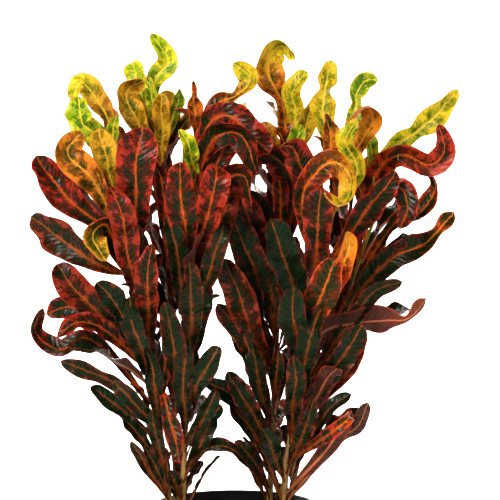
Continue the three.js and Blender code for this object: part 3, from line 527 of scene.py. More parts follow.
        routed(0.1, [(94, -28, 226), (122, -42, 268), (154, -50, 291), (169, -51, 321)], 22, 0, -0.8, 0.12,
               0.2),
        bent(0.22, (140, -100, 306), 16, 30, 200, 30, 0.8, 0.15, 0.3, endTone=0.5),
        bent(0.33, (158, -94, 422), 34, 15, 30, 30, 1, 0.15, 0.3),
        bent(0.44, (72, -118, 470), 36, 20, 40, -30, 1, 0.1, 0.2),
        bent(0.27, (72, -98, 384), 27, 15, 50, 40, 0.9, 0.09, 0.2),
        routed(0.82, [(92, -84, 590), (76, -106, 636), (56, -116, 640)], 36, -30, 0.8, 0.3, 0.5),
        bent(0.17, (34, -74, 292), 22, 10, 40, 40, 0.9, 0.06, 0.1),
        bent(0.36, (108, -112, 446), 31, 15, 40, -50, 0.8, 0.08, 0.2),
        bent(0.19, (98, -82, 330), 22, 15, 40, 50, 0.9, 0.07, 0.2),
    ],
    "rightOuter": [
        routed(0.97, [(204, 14, 640), (236, 0, 668), (262, -10, 690), (288, -14, 721)], 33, 50, 0.8, 0.92,
               0.5, waist=(0.62, 0.45)),
        routed(0.8, [(180, 8, 602), (212, -12, 636), (250, -20, 624), (269, -22, 642), (262, -22, 676)], 32,
               40, 0.7, 0.36, 0.55),
        routed(0.7, [(204, 8, 545), (240, 0, 562), (259, -6, 594), (248, -10, 621)], 25, -30, 0.6, 0.5, 0.3),
        bent(0.93, (212, 6, 656), 30, 20, 40, -90, 1, 0.9, 0.5),
        bent(0.98, (172, 24, 672), 21, 10, 50, 60, 1, 1, 0.1),
        bent(0.66, (224, -4, 534), 28, 40, 60, 40, 0.8, 0.1, 0.2),
        routed(0.6, [(164, -6, 462), (202, -30, 504), (244, -40, 524), (279, -44, 562)], 37, -60, 0.9, 0.15,
               0.25, waist=(0.87, 0.6), endTone=0.5),
    ],
}

# Leaves that follow a rule on the sides that the list leaves bare, with their middle heading and fan in
# degrees. without lists the ones that aren't grown, because they would close a gap.
fills = {
    "leftOuter": dict(count=8, towards=140, spread=150, seed=9),
    "leftRear": dict(count=14, towards=98, spread=230, seed=13, without=(3,)),
    "leftInner": dict(count=4, towards=60, spread=120, seed=18, without=(0,)),
    "rightInner": dict(count=13, towards=96, spread=200, seed=9, without=(4,)),
    "rightFront": dict(count=3, towards=20, spread=110, seed=12),
    "rightOuter": dict(count=12, towards=62, spread=210, seed=7),
}
fillRule = {"range": (0.2, 0.97), "lengthLow": 112, "lengthMid": 52, "lengthTop": 96, "tiltLow": 66,
            "tiltTop": 14, "tiltSpread": 14, "wide": 25, "wideMid": 13, "wideSpread": 5,
            "toneSpread": 0.1, "flush": (0.15, 0.7), "goldenShare": 0.618034}
# What a leaf draws at random: where each value starts, and its reach
fillDraws = {"bend": (18, 34), "curl": (-40, 150), "twist": (-80, 160), "face": (-0.12, 0.24)}
fillTones = [(0.0, 0.05), (0.5, 0.12), (0.66, 0.3), (0.8, 0.42), (0.9, 0.7), (1.0, 1.0)]

# Short leaves that stand close round every stem and hide it
innerRule = {"count": 18, "range": (0.04, 0.86), "tilt": (31, 12), "length": (85, 135), "wide": (16, 23),
             "headingSpread": 0.1, "reach": (0.85, 0.3), "face": 0.9, "toneSpread": 0.12, "flush": (0.1, 0.7)}
innerDraws = {"bend": (10, 30), "curl": (0, 90), "twist": (-70, 140)}


def randomFrom(seed):  # repeatable numbers between 0 and 1
    state = seed * 7919 + 17
    while True:
        state = state * 16807 % 2147483647
        yield state / 2147483647


def stemAxis(stem, z):
    share = max(0.0, (z - stemRule["foot"]) / (stem["to"][2] - stemRule["foot"])) ** stemRule["spread"]
    return Vector(stem["from"][i] + (stem["to"][i] - stem["from"][i]) * share for i in (0, 1))


def stemPoint(stem, share):
    z = stemRule["foot"] + (stem["to"][2] - stemRule["foot"]) * share
    return Vector((*stemAxis(stem, z), z))


def clearShare(point, name):
    # how much of a leaf's reach stays on its own stem's side of every other stem
    own = stemAxis(stems[name], point.z)
    away = point.xy - own
    limit = reach = max(away.length, 1e-6)
    for other in stems:
        if other != name:
            apart = stemAxis(stems[other], point.z) - own
            facing = apart.dot(away) / (apart.length * reach)
            if facing > 1e-6:
                limit = min(limit, (apart.length / 2 - bladeRule["neighbourMargin"]) / facing)
    return limit / reach


def bladeShape(t, bluntness):  # the half width's share of its most
    start, end = bladeRule["startPower"], bladeRule["endPower"]
    u = max(0.0, (t - bladeRule["petioleShare"]) / (1 - bladeRule["petioleShare"]))
    widest = start / (start + end * bluntness)
    most = widest ** (start / bluntness) * (1 - widest) ** end
    return u ** start * max(0.0, 1 - u ** bluntness) ** end / most


def squareTo(vector, line):
    return vector - line * vector.dot(line)


def facingOf(line, stem, face):
    skyward = squareTo(Vector((0, 0, 1)), line)
    if skyward.length < 0.08:  # an upright leaf looks towards where its stem comes from
        lean = Vector((stem["from"][0] - stem["to"][0], stem["from"][1] - stem["to"][1], 0))
        skyward = squareTo(lean, line)
    frontward = squareTo(Vector((0, -1, 0)), line).normalized() * face
    return (skyward.normalized() * (1 - abs(face)) + frontward).normalized()


def curvePoint(points, t):  # a smooth curve through points, t from 0 to 1
    place = t * (len(points) - 1)
    k = min(int(place), len(points) - 2)
    u = place - k
    p1, p2 = points[k], points[k + 1]
    p0 = points[k - 1] if k > 0 else p1 * 2 - p2
    p3 = points[k + 2] if k + 2 < len(points) else p2 * 2 - p1
    start, end = (p2 - p0) / 2, (p3 - p1) / 2
    square = p2 * 3 - p1 * 3 - start * 2 - end
    cube = p1 * 2 - p2 * 2 + start + end
    return p1 + start * u + square * u ** 2 + cube * u ** 3


def twistStep(leaf, t, along):  # a leaf twists about its midrib from twistStart on
    started = t > bladeRule["twistStart"]
    twist = math.radians(leaf["twist"]) / (1 - bladeRule["twistStart"]) / bladeRule["steps"]
    return Matrix.Rotation(twist if started else 0.0, 3, along)


def routedMidrib(leaf, root, stem):
    # stations along a smooth curve through the leaf's way, at even lengths
    points = [root] + [Vector(p) for p in leaf["way"]]
    steps, fineSteps, nudge = bladeRule["steps"], 400, 1e-3
    fine = [curvePoint(points, i / fineSteps) for i in range(fineSteps + 1)]
    lengths = np.concatenate([[0], np.cumsum([(b - a).length for a, b in zip(fine, fine[1:])])])
    places = np.interp(np.linspace(0, lengths[-1], steps + 1), lengths, np.linspace(0, 1, fineSteps + 1))
    before, up, frames = None, Vector((0, 0, 1)), []
    for i, t in enumerate(places):
        along = curvePoint(points, min(1, t + nudge)) - curvePoint(points, max(0, t - nudge))
        along.normalize()
        up = squareTo(up, along).normalized() if before is None else before.rotation_difference(along) @ up
        up = twistStep(leaf, i / steps, along) @ up
        frames.append([curvePoint(points, t), along, up])
        before = along
    middle = frames[bladeRule["middleStep"]]
    wanted = facingOf(middle[1], stem, leaf["face"])
    roll = math.atan2(middle[2].cross(wanted).dot(middle[1]), middle[2].dot(wanted))
    return [(point, along, Matrix.Rotation(roll, 3, along) @ up) for point, along, up in frames]


def bentMidrib(leaf, root, stem):
    # stations along a line that bends evenly, curls up at its end, and is then turned to reach the tip
    steps, curlStart = bladeRule["steps"], bladeRule["curlStart"]
    point, along, up, frames = Vector(), Vector((1, 0, 0)), Vector((0, 0, 1)), []
    for i in range(steps + 1):
        frames.append((point.copy(), along.copy(), up.copy()))
        t = (i + 0.5) / steps
        curling = max(0.0, 2 * (t - curlStart) / (1 - curlStart) ** 2)
        point += along / steps
        angle = math.radians(leaf["bend"] + leaf["curl"] * curling) / steps
        bend = Matrix.Rotation(angle, 3, up.cross(along))
        along, up = bend @ along, bend @ up
        up = twistStep(leaf, t, along) @ up
    furthest = max(frames, key=lambda f: f[0].length)[0]
    line = furthest.normalized()
    upright = squareTo(frames[bladeRule["middleStep"]][2], line).normalized()
    local = Matrix((line, upright, line.cross(upright)))
    span = Vector(leaf["tip"]) - root
    length = span.length / furthest.length
    span.normalize()
    facing = facingOf(span, stem, leaf["face"])
    turn = Matrix((span, facing, span.cross(facing))).transposed() @ local
    return [(turn @ p * length + root, turn @ a, turn @ u) for p, a, u in frames]


def bladeStations(leaf, name, phase):
    # the blade's both edges and its half width at each station of the midrib
    stem, steps = stems[name], bladeRule["steps"]
    root = stemPoint(stem, leaf["at"])
    frames = (routedMidrib if leaf.get("way") else bentMidrib)(leaf, root, stem)
    drawn = 1.0 if "placed" in leaf else min(clearShare(point, name) for point, along, up in frames)
    low, high = bladeRule["bluntness"]
    bluntness = low + (high - low) * (phase * 5.3 % 1)
    waist, pinch = leaf.get("waist", (0.5, 0))
    stations = []
    for i, (point, along, up) in enumerate(frames):
        t = i / steps
        narrowed = 1 - pinch * math.exp(-((t - waist) / bladeRule["waistLength"]) ** 2)
        widened = leaf["wide"] / 2 * (bladeShape(t, bluntness) * narrowed)
        halfWidth = max(bladeRule["petioleWidth"] / 2, widened)
        if i == steps:
            halfWidth = bladeRule["tipWidth"] / 2
        side = up.cross(along)
        middle = root + (point - root) * drawn
        swing = leaf["wide"] * bladeRule["wave"] * bladeShape(t, bladeRule["waveBluntness"])
        edges = []
        for across in (-1, 1):
            wave = swing * math.sin(fullTurn * (bladeRule["waveCount"] * t + phase + 0.3 * across))
            unevenTurns = bladeRule["unevenCount"] * t + phase * 2.3 * across
            uneven = 1 + bladeRule["uneven"] * math.sin(fullTurn * unevenTurns)
            edges.append(middle + side * (across * halfWidth * uneven) + up * wave)
        stations.append((*edges, halfWidth))
    return stations


def pointing(heading, tilt):
    return Vector((math.cos(heading) * math.sin(tilt), math.sin(heading) * math.sin(tilt), math.cos(tilt)))


def fillTone(at):
    return float(np.interp(at, *zip(*fillTones)))


def drawValue(ends, numbers):
    start, reach = ends
    return start + reach * next(numbers)


def fillLeaves(name):
    rule, stem, f = fills[name], stems[name], fillRule
    numbers, shades = randomFrom(rule["seed"]), randomFrom(rule["seed"] + 100)
    low, top = f["range"]
    grown = []
    for k in range(rule["count"]):
        share = (k + 0.5) / rule["count"]
        middle = math.sin(math.pi * share)
        at = low + (top - low) * share ** 0.8
        heading = math.radians(rule["towards"] + rule["spread"] * ((k * f["goldenShare"] + 0.37) % 1 - 0.5))
        tilt = f["tiltLow"] + (f["tiltTop"] - f["tiltLow"]) * share ** 1.3
        tilt = math.radians(tilt + f["tiltSpread"] * (next(numbers) - 0.5))
        length = f["lengthLow"] + (f["lengthTop"] - f["lengthLow"]) * share + f["lengthMid"] * middle
        wide = f["wide"] + f["wideMid"] * middle + f["wideSpread"] * next(numbers)
        drawn = {key: drawValue(ends, numbers) for key, ends in fillDraws.items()}
        grown.append(dict(drawn, at=at, tip=stemPoint(stem, at) + pointing(heading, tilt) * length, wide=wide,
                          tone=fillTone(at) + f["toneSpread"] * (next(shades) - 0.5),
                          flush=drawValue(f["flush"], shades)))
    for k in rule.get("without", ()):
        grown[k] = None
    return grown


def innerLeaves(name):
    stem, f, numbers = stems[name], innerRule, randomFrom(len(name) + 40)
    grown = []
    for k in range(f["count"]):
        share = (k + 0.5) / f["count"]
        at, tilt, length, wide = (f[key][0] + (f[key][1] - f[key][0]) * share
                                  for key in ("range", "tilt", "length", "wide"))
        heading = fullTurn * (k * fillRule["goldenShare"] + next(numbers) * f["headingSpread"])
        reach = pointing(heading, math.radians(tilt)) * length * drawValue(f["reach"], numbers)
        drawn = {key: drawValue(ends, numbers) for key, ends in innerDraws.items()}
        grown.append(dict(drawn, at=at, tip=stemPoint(stem, at) + reach, wide=wide,
                          face=f["face"] * math.sin(-heading),
                          tone=fillTone(at) + f["toneSpread"] * (next(numbers) - 0.5),
                          flush=drawValue(f["flush"], numbers)))
    return grown


def bladesGuide(name):
    # one line of stations for each leaf on a stem, with what its blade needs at each of them
    grown = []
    for phase, group in ((0.0, leaves[name]), (0.5, fillLeaves(name)), (0.25, innerLeaves(name))):
        grown += [(leaf, i * fillRule["goldenShare"] + phase) for i, leaf in enumerate(group) if leaf]
    points, edges = [], []
    numbers = {key: [] for key in ("share", "halfWidth", "lengthwise", "leafSeed", "tone", "flush")}
    vectors = {key: [] for key in ("leftEdge", "rightEdge", "bladeUp")}
    toneFrom, toneTo = bladeRule["endTone"]
    for leaf, phase in grown:
        stations = bladeStations(leaf, name, phase)
        middles = [(left + right) / 2 * mm for left, right, half in stations]
        lengthwise = 0.0
        for i, (left, right, halfWidth) in enumerate(stations):
            if i:
                edges.append((len(points) - 1, len(points)))
                lengthwise += (middles[i] - middles[i - 1]).length
            share = i / bladeRule["steps"]
            blend = min(1, max(0, (share - toneFrom) / (toneTo - toneFrom)))
            tone = leaf["tone"] + (leaf.get("endTone", leaf["tone"]) - leaf["tone"]) * blend
            leafSeed = phase * 3.7 + list(stems).index(name) * 17.3
            points.append(middles[i])
            known = (share, halfWidth * mm, lengthwise, leafSeed, tone, leaf["flush"])
            for key, value in zip(numbers, known):
                numbers[key].append(value)
            along = middles[min(i + 1, len(middles) - 1)] - middles[max(i - 1, 0)]
            up = along.cross(right - left).normalized()
            for key, value in zip(vectors, (left * mm, right * mm, up)):
                vectors[key].append(value)
    return guideMesh(name + "Guide", points, edges, numbers, vectors), len(grown)


# The cross-section's fold, ruffle and quilting in powers, shares and turns, the half widths between which the
# quilting sets in, the shares between which the petiole thickens, and the angle that makes an edge sharp
bladeForm = {"foldPower": 1.35, "foldMiddle": 0.45, "rufflePower": 2.2, "ruffleLag": 0.21,
             "ruffleVariety": 0.25, "puffFrom": (2 * mm, 9 * mm), "petioleEnd": (0.14, 0.03),
             "sharpAngle": 0.9}


def bladeTree():
    # sweeps a cross-section along each guide line, folds, ruffles and quilts it, and gives it thickness
    tree, source = startTree("leafBlades", bladeInputs)
    across, half, share, seed, lengthwise = (
        readField(tree, key) for key in ("across", "halfWidth", "share", "leafSeed", "lengthwise"))
    left, right, up = (readField(tree, key, "FLOAT_VECTOR") for key in ("leftEdge", "rightEdge", "bladeUp"))
    midribs = through(source["Geometry"], "MeshToCurve")
    line = made(tree, "GeometryNodeCurvePrimitiveLine", {"Start": (-1, 0, 0), "End": (1, 0, 0)})
    line = through(line, "ResampleCurve", {"Count": source["Steps Across"]})
    x = made(tree, "ShaderNodeSeparateXYZ", {0: made(tree, "GeometryNodeInputPosition")})
    profile = through(line, "StoreNamedAttribute", {"Name": "across", "Value": x}, data_type="FLOAT",
                      domain="POINT")
    sheet = through(midribs, "CurveToMesh", {"Profile Curve": profile})
    flat = vectorCalc("ADD", left, scaled(vectorCalc("SUBTRACT", right, left), across * 0.5 + 0.5))
    flatSheet = through(sheet, "SetPosition", {"Position": flat})
    # fold: the halves rise from the midrib
    out = calc("ABSOLUTE", across)
    lift = (out ** bladeForm["foldPower"] - bladeForm["foldMiddle"]) * half * source["Fold"]
    # ruffle: the margins wave faster than the blade
    uneven = calc("SINE", seed * 9.0) * bladeForm["ruffleVariety"] + 1.0
    turns = share * uneven * source["Ruffle Count"] + (across * bladeForm["ruffleLag"] + seed)
    wave = calc("SINE", turns * fullTurn)
    lift = out ** bladeForm["rufflePower"] * half * wave * source["Ruffle"] + lift
    # quilt: the blade is puffed between its side veins
    slant = (lengthwise - out * half * source["Vein Slant"]) / source["Vein Spacing"]
    slant = slant + calc("GREATER_THAN", across, 0.0) * leafPattern["sideShift"]
    puff = 0.0 - calc("COSINE", slant * fullTurn)
    puff = puff * (out * (1.0 - out)) * between(half, *bladeForm["puffFrom"])
    lift = puff * 4.0 * source["Quilt"] + lift
    shaped = through(flatSheet, "SetPosition", {"Offset": scaled(up, lift)})
    # the upper side is the one that the guide's up points out of
    normal = made(tree, "GeometryNodeInputNormal")
    wrong = calc("LESS_THAN", vectorCalc("DOT_PRODUCT", normal, up, output=1), 0.0)
    shaped = through(shaped, "FlipFaces", {"Selection": wrong})
    extra = source["Petiole Thickness"] - source["Blade Thickness"]
    thickness = between(share, *bladeForm["petioleEnd"]) * extra + source["Blade Thickness"]
    raised = through(shaped, "ExtrudeMesh", {"Offset Scale": thickness, "Individual": False})
    under = through(shaped, "FlipFaces")
    under = through(under, "StoreNamedAttribute", {"Name": "isUnderside", "Value": True}, data_type="BOOLEAN",
                    domain="FACE")
    closed = through(joined(raised, under), "MergeByDistance", {"Distance": 0.002 * mm})
    closed = through(closed, "SetShadeSmooth", {"Shade Smooth": True}, domain="FACE")
    sharp = calc("GREATER_THAN", made(tree, "GeometryNodeInputMeshEdgeAngle"), bladeForm["sharpAngle"])
    closed = through(closed, "SetShadeSmooth", {"Selection": sharp, "Shade Smooth": False}, domain="EDGE")
    real = through(through(closed, "RealizeInstances"), "SetMaterial", {"Material": source["Upper Side"]})
    isUnder = readField(tree, "isUnderside", "BOOLEAN")
    return finishTree(through(real, "SetMaterial", {"Selection": isUnder, "Material": source["Underside"]}))


# Leaf scars stand in a spiral, a golden angle apart. Their place and size are shares of the stem's radius.
scarForm = {"spiralStep": 2.39996, "out": (0.86, 0, 0), "size": (0.2, 0.42, 0.3)}


def stemTree():
    # a tapering stem along its guide line, with a spiral of leaf scars
    tree, source = startTree("leafyStem", stemInputs)
    line = through(source["Geometry"], "MeshToCurve")
    ring = made(tree, "GeometryNodeCurvePrimitiveCircle", {"Resolution": source["Sides"], "Radius": 1.0})
    radius = readField(tree, "stemRadius")
    tube = through(line, "CurveToMesh", {"Profile Curve": ring, "Scale": radius, "Fill Caps": True})
    spots = addNode(tree, "GeometryNodeCurveToPoints", {"Curve": line, "Length": source["Scar Spacing"]},
                    mode="LENGTH")
    turn = made(tree, "GeometryNodeInputIndex") * scarForm["spiralStep"]
    spin = made(tree, "FunctionNodeAxisAngleToRotation", {"Axis": (0, 0, 1), "Angle": turn})
    upright = Field(tree, spots.outputs["Rotation"])
    facing = made(tree, "FunctionNodeRotateRotation", {"Rotation": upright, "Rotate By": spin},
                  rotation_space="LOCAL")
    scar = made(tree, "GeometryNodeMeshIcoSphere", {"Radius": 1.0, "Subdivisions": 2})
    scar = through(scar, "Transform", {"Translation": scarForm["out"], "Scale": scarForm["size"]})
    scars = through(Field(tree, spots.outputs["Points"]), "InstanceOnPoints",
                    {"Instance": scar, "Rotation": facing, "Scale": joinXyz(radius, radius, radius)})
    real = through(joined(tube, scars), "RealizeInstances")
    real = through(real, "SetShadeSmooth", {"Shade Smooth": True}, domain="FACE")
    return finishTree(through(real, "SetMaterial", {"Material": source["Bark"]}))


def stemGuide(name):
    stem, steps = stems[name], stemRule["steps"]
    shares = [i / steps for i in range(steps + 1)]
    radii = []
    for share in shares:
        budShare = max(0, (share - stemRule["budFrom"]) / (1 - stemRule["budFrom"]))
        bud = 1 - (1 - stemRule["bud"]) * budShare
        radii.append(stem["radius"] * (1 - stemRule["taper"] * share) * bud * mm)
    points = [stemPoint(stem, share) * mm for share in shares]
    edges = [(i, i + 1) for i in range(steps)]
    return guideMesh(name + "Line", points, edges, {"stemRadius": radii, "share": shares}, {})


bladeInputs = {**bladeRelief, "Upper Side": upperSide, "Underside": underside}
stemInputs = {**stemRelief, "Bark": bark}
blades = bladeTree()
stemGrower = stemTree()
for name, stem in stems.items():
    guide, count = bladesGuide(name)
    foliage = grow(stem["node"].replace("leafy_stem", "leaves"), guide, blades, bladeInputs)
    keepPiece(foliage, "foliage", stem["node"])
    shoot = grow(stem["node"].replace("leafy_stem", "stem"), stemGuide(name), stemGrower, stemInputs)
    keepPiece(shoot, "foliage", stem["node"])
    print(name, count, "leaves,", len(foliage.data.polygons), "and", len(shoot.data.polygons), "faces")


# Pot
potShape = {"rim": 105, "height": 185, "base": 74, "wall": 2.2, "collar": 24, "collarStep": 2.6, "lip": 4,
            "lipWidth": 2.2, "sides": 144, "smoothAngle": 32}
drainHoles = {"count": 6, "radius": 5, "ring": 50, "sides": 24}


def potOutline():
    # from the middle of the underside, up the outside, over the lip and down the inside
    rim, top, wall, base = potShape["rim"], potShape["height"], potShape["wall"], potShape["base"]
    foot, lip, lipFoot = top - potShape["collar"], rim - potShape["lipWidth"], top - potShape["lip"]
    body = lip - potShape["collarStep"]

    def inside(z):
        return base - wall + (body - base) / foot * z

    return [
        (0, 1.2), (base - 9, 1.2), (base - 7.5, 0), (base - 2, 0), (base - 0.6, 0.6), (base, 2),
        (base + 1.15, 8), (base + 1.75, 8.3), (base + 1.95, 9.2), (base + 1.7, 10.1), (base + 1.75, 12),
        (body - 1.6, foot - 5), (body - 1.05, foot - 1), (body - 0.4, foot + 0.1), (body + 0.9, foot + 0.5),
        (body + 1.5, foot + 1.2), (body + 1.7, foot + 2.4), (body + 1.9, foot + 5),
        (lip - 0.1, lipFoot - 0.5), (rim - 1.2, lipFoot), (rim - 0.3, lipFoot + 0.5), (rim, lipFoot + 1.3),
        (rim, top - 1.2), (rim - 0.4, top - 0.4), (rim - 1.3, top), (rim - 3, top), (rim - 3.9, top - 0.5),
        (rim - 4.3, top - 1.6), (body + 0.1, foot + 4), (body - 1.3, foot + 1), (inside(foot - 1), foot - 2),
        (inside(12), 12), (inside(4), 4.6), (inside(2) - 1.4, wall + 0.4), (inside(2) - 3, wall + 0.2),
        (0, wall + 0.2),
    ]


def onCircle(radius, i, sides):
    return radius * math.cos(fullTurn * i / sides), radius * math.sin(fullTurn * i / sides)


def lathe(name, outline, sides):
    # a closed turned body from an outline that starts and ends on the axis
    points, faces, rings = [], [], []
    for radius, z in outline:
        count = sides if radius else 1
        rings.append(list(range(len(points), len(points) + count)))
        for i in range(count):
            x, y = onCircle(radius, i, sides)
            points.append((x * mm, y * mm, z * mm))
    for low, high in zip(rings, rings[1:]):
        for i in range(sides):
            j = (i + 1) % sides
            corners = [low[i % len(low)], low[j % len(low)], high[j % len(high)], high[i % len(high)]]
            faces.append(list(dict.fromkeys(corners)))
    mesh = bpy.data.meshes.new(name)
    mesh.from_pydata(points, [], faces)
    mesh.validate()
    body = bpy.data.objects.new(name, mesh)
    bpy.context.scene.collection.objects.link(body)
    return body


def potMaterial():
    material, tree, shader = startMaterial("blackPotPlastic", Base_Color=(0.008, 0.008, 0.009, 1), IOR=1.49,
                                           Specular_IOR_Level=0.3)
    place = objectPlace(tree)
    grain = noise(place, 1500.0)
    dust = noise(place, 34.0, 5.0, 0.7)
    scuff = noise(drawnOut(place, 0.14), 260.0, 3.0)
    color = mixColors(between(dust, 0.5, 0.8), (0.006, 0.0065, 0.007, 1), (0.022, 0.021, 0.019, 1))
    plug(shader, {"Base Color": color, "Roughness": dust * 0.25 + scuff * 0.12 + 0.3})
    addBump(shader, grain * 0.7 + scuff * 0.3, 0.3, 0.15 * mm)
    return material


pot = lathe("nurseryPot", potOutline(), potShape["sides"])
cutters = []
for i in range(drainHoles["count"]):
    drill = lathe("drill", [(0, -6), (drainHoles["radius"], -6), (drainHoles["radius"], 9), (0, 9)],
                  drainHoles["sides"])
    x, y = onCircle(drainHoles["ring"] * mm, i, drainHoles["count"])
    drill.data.transform(Matrix.Translation((x, y, 0)))
    cut = pot.modifiers.new("drainHole", "BOOLEAN")
    cut.operation, cut.object, cut.solver = "DIFFERENCE", drill, "EXACT"
    cutters.append(drill)
drilled = bpy.data.meshes.new_from_object(pot.evaluated_get(bpy.context.evaluated_depsgraph_get()))
pot.modifiers.clear()
pot.data = drilled
for drill in cutters:
    bpy.data.objects.remove(drill)
pot.data.materials.clear()
pot.data.materials.append(potMaterial())
pot.data.shade_smooth()
pot.data.set_sharp_from_angle(angle=math.radians(potShape["smoothAngle"]))
keepPiece(pot, "pot", "pot")
print("pot turned and drilled:", len(pot.data.polygons), "faces")


# Compost: the CAD solid keeps its shape under a layer of bark crumbs and white grains
compost = {"top": 160, "radius": 95.5, "roughness": 2.2, "rings": 26, "sides": 80}
crumbs = {"Spacing": 2.3 * mm, "Density": 150000.0, "Smallest": 1.2 * mm, "Largest": 3.4 * mm, "Seed": 4}
whiteGrains = {"Spacing": 7 * mm, "Density": 7000.0, "Smallest": 0.8 * mm, "Largest": 1.9 * mm, "Seed": 11}
# The crumbs' proportions, how deep their dents are, and how far they may turn, in radians
crumbForm = {"slimmest": (0.5, 0.4, 0.25), "fullest": (1.2, 0.9, 0.55), "dents": 1.5, "turn": 3.1}


def compostMaterial(name, dark, light, scale):
    material, tree, shader = startMaterial(name, Roughness=0.9, IOR=1.35)
    place = objectPlace(tree)
    lumps = noise(place, scale, 5.0, 0.65)
    fibre = noise(place, scale * 4.5, 3.0)
    color = shaded(mixColors(between(lumps, 0.36, 0.68), dark, light), fibre * 0.9 + 0.55)
    plug(shader, {"Base Color": color})
    addBump(shader, lumps + fibre * 0.5, 0.8, 0.8 * mm)
    return material


def compostHeight(x, y):
    lumps = math.sin(x * 0.11 + 1.3) * math.cos(y * 0.13) + 0.6 * math.sin(x * 0.27 + y * 0.21)
    return compost["top"] + compost["roughness"] * lumps


def compostGround():
    points, faces, sides = [(0, 0, compostHeight(0, 0) * mm)], [], compost["sides"]
    for ring in range(1, compost["rings"] + 1):
        for i in range(sides):
            x, y = onCircle(compost["radius"] * ring / compost["rings"], i, sides)
            points.append((x * mm, y * mm, compostHeight(x, y) * mm))
    for i in range(sides):
        j = (i + 1) % sides
        faces.append((0, 1 + i, 1 + j))
        for ring in range(compost["rings"] - 1):
            inner, outer = 1 + ring * sides, 1 + (ring + 1) * sides
            faces.append((inner + i, outer + i, outer + j, inner + j))
    mesh = bpy.data.meshes.new("compostGround")
    mesh.from_pydata(points, [], faces)
    return mesh


def randomField(tree, kind, low, high, seed):
    # the sockets 0, 1 are the random vector's ends, and 2, 3 the random number's
    first, output = (0, 0) if kind == "FLOAT_VECTOR" else (2, 1)
    return made(tree, "FunctionNodeRandomValue", {first: low, first + 1: high, "Seed": seed}, output,
                data_type=kind)


def crumbTree(values):
    # scatters small broken lumps over a surface, every one of its own size, turn and proportions
    tree, source = startTree("compostCrumbs", values)
    seed, turn = source["Seed"], crumbForm["turn"]
    spots = through(source["Geometry"], "DistributePointsOnFaces",
                    {"Distance Min": source["Spacing"], "Density Max": source["Density"], "Seed": seed},
                    distribute_method="POISSON")
    lump = made(tree, "GeometryNodeMeshIcoSphere", {"Radius": 1.0, "Subdivisions": 2})
    dents = made(tree, "ShaderNodeTexNoise", {"Scale": 1.1, "Detail": 1.0}, "Color")
    shift = scaled(vectorCalc("SUBTRACT", dents, (0.5, 0.5, 0.5)), crumbForm["dents"])
    lump = through(lump, "SetPosition", {"Offset": shift})
    turned = made(tree, "FunctionNodeEulerToRotation",
                  {0: randomField(tree, "FLOAT_VECTOR", (-turn, -turn, -turn), (turn, turn, turn), seed)})
    size = randomField(tree, "FLOAT", source["Smallest"], source["Largest"], seed)
    form = randomField(tree, "FLOAT_VECTOR", crumbForm["slimmest"], crumbForm["fullest"], seed)
    size = scaled(form, size)
    lumps = through(spots, "InstanceOnPoints", {"Instance": lump, "Rotation": turned, "Scale": size})
    real = through(lumps, "RealizeInstances")
    return finishTree(through(real, "SetMaterial", {"Material": source["Finish"]}))


def strew(name, look, values):
    values = {**values, "Finish": look}
    piece = grow(name, compostGround(), crumbTree(values), values)
    keepPiece(piece, "soil")
    print(name, "strewn:", len(piece.data.polygons), "faces")


soilBrown = compostMaterial("darkCompost", (0.010, 0.007, 0.005, 1), (0.062, 0.038, 0.022, 1), 210.0)
grainWhite = compostMaterial("whiteGrain", (0.55, 0.53, 0.48, 1), (0.8, 0.79, 0.75, 1), 300.0)
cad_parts["soil"].data.materials.clear()
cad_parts["soil"].data.materials.append(soilBrown)
strew("compostCrumbs", soilBrown, crumbs)
strew("compostWhiteGrains", grainWhite, whiteGrains)


# Floor: a wide pale dish whose rim stands behind the plant whichever way the camera looks. In metres.
floorShape = {"flat": 3.6, "bend": 1.4, "height": 4.5, "sides": 96, "flatSteps": 4, "bendSteps": 12}
floorLook = {"Base Color": (0.92, 0.92, 0.91, 1), "Roughness": 0.8, "Emission Color": (1, 1, 1, 1),
             "Emission Strength": 0.15}


def floorOutline():
    flat, bend = floorShape["flat"] / mm, floorShape["bend"] / mm
    outline = [(flat * k / floorShape["flatSteps"], 0) for k in range(floorShape["flatSteps"] + 1)]
    for k in range(1, floorShape["bendSteps"] + 1):
        angle = fullTurn / 4 * k / floorShape["bendSteps"]
        outline.append((flat + bend * math.sin(angle), bend * (1 - math.cos(angle))))
    return outline + [(outline[-1][0], floorShape["height"] / mm)]


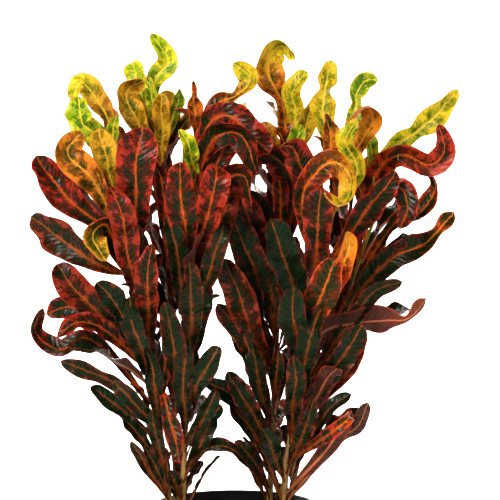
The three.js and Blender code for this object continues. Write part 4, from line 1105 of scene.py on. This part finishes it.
floor = lathe("paleFloor", floorOutline(), floorShape["sides"])
floor.data.flip_normals()
floor.data.shade_smooth()
floor.data.materials.append(startMaterial("paleFloor", **floorLook)[0])

# Light: bright all round, with a large soft source in front on the left, a weaker one on the right, and one
# on the wall behind. All of it in metres and watts.
lights = {
    "keyLight": {"at": (-1.3, -2.3, 1.9), "to": (0, 0, 0.5), "size": 0.8, "watts": 80},
    "fillLight": {"at": (1.9, -1.9, 0.9), "to": (0, 0, 0.5), "size": 1.4, "watts": 12},
    "wallLight": {"at": (0, 1.9, 4.1), "to": (0, 4.9, 1.6), "size": 3.0, "watts": 420},
}
studio = {"worldStrength": 0.12, "transform": "Standard", "look": "High Contrast"}
for name, values in lights.items():
    data = bpy.data.lights.new(name, "AREA")
    data.shape, data.size, data.energy = "DISK", values["size"], values["watts"]
    lamp = bpy.data.objects.new(name, data)
    lamp.location = values["at"]
    lamp.rotation_euler = (Vector(values["to"]) - Vector(values["at"])).to_track_quat("-Z", "Y").to_euler()
    lamp.visible_camera = False
    bpy.context.scene.collection.objects.link(lamp)
world = bpy.data.worlds.new("studioWorld")
world.use_nodes = True
plug(world.node_tree.nodes["Background"], {"Color": (1, 1, 1, 1), "Strength": studio["worldStrength"]})
bpy.context.scene.world = world
bpy.context.scene.view_settings.view_transform = studio["transform"]
bpy.context.scene.view_settings.look = studio["look"]

# Camera: level, 1.9 m in front, 0.65 m wide where the plant stands
cameraPlace = {"at": (0.0195, -1.9, 0.514), "width": 0.65, "sensor": 36}
cameraData = bpy.data.cameras.new("camera")
cameraData.sensor_fit = "HORIZONTAL"
cameraData.sensor_width = cameraPlace["sensor"]
cameraData.lens = cameraPlace["sensor"] * -cameraPlace["at"][1] / cameraPlace["width"]
cameraData.clip_end = 50
camera = bpy.data.objects.new("camera", cameraData)
camera.location = cameraPlace["at"]
camera.rotation_euler = (math.pi / 2, 0, 0)
bpy.context.scene.collection.objects.link(camera)
bpy.context.scene.camera = camera
print("floor, lights and camera set")
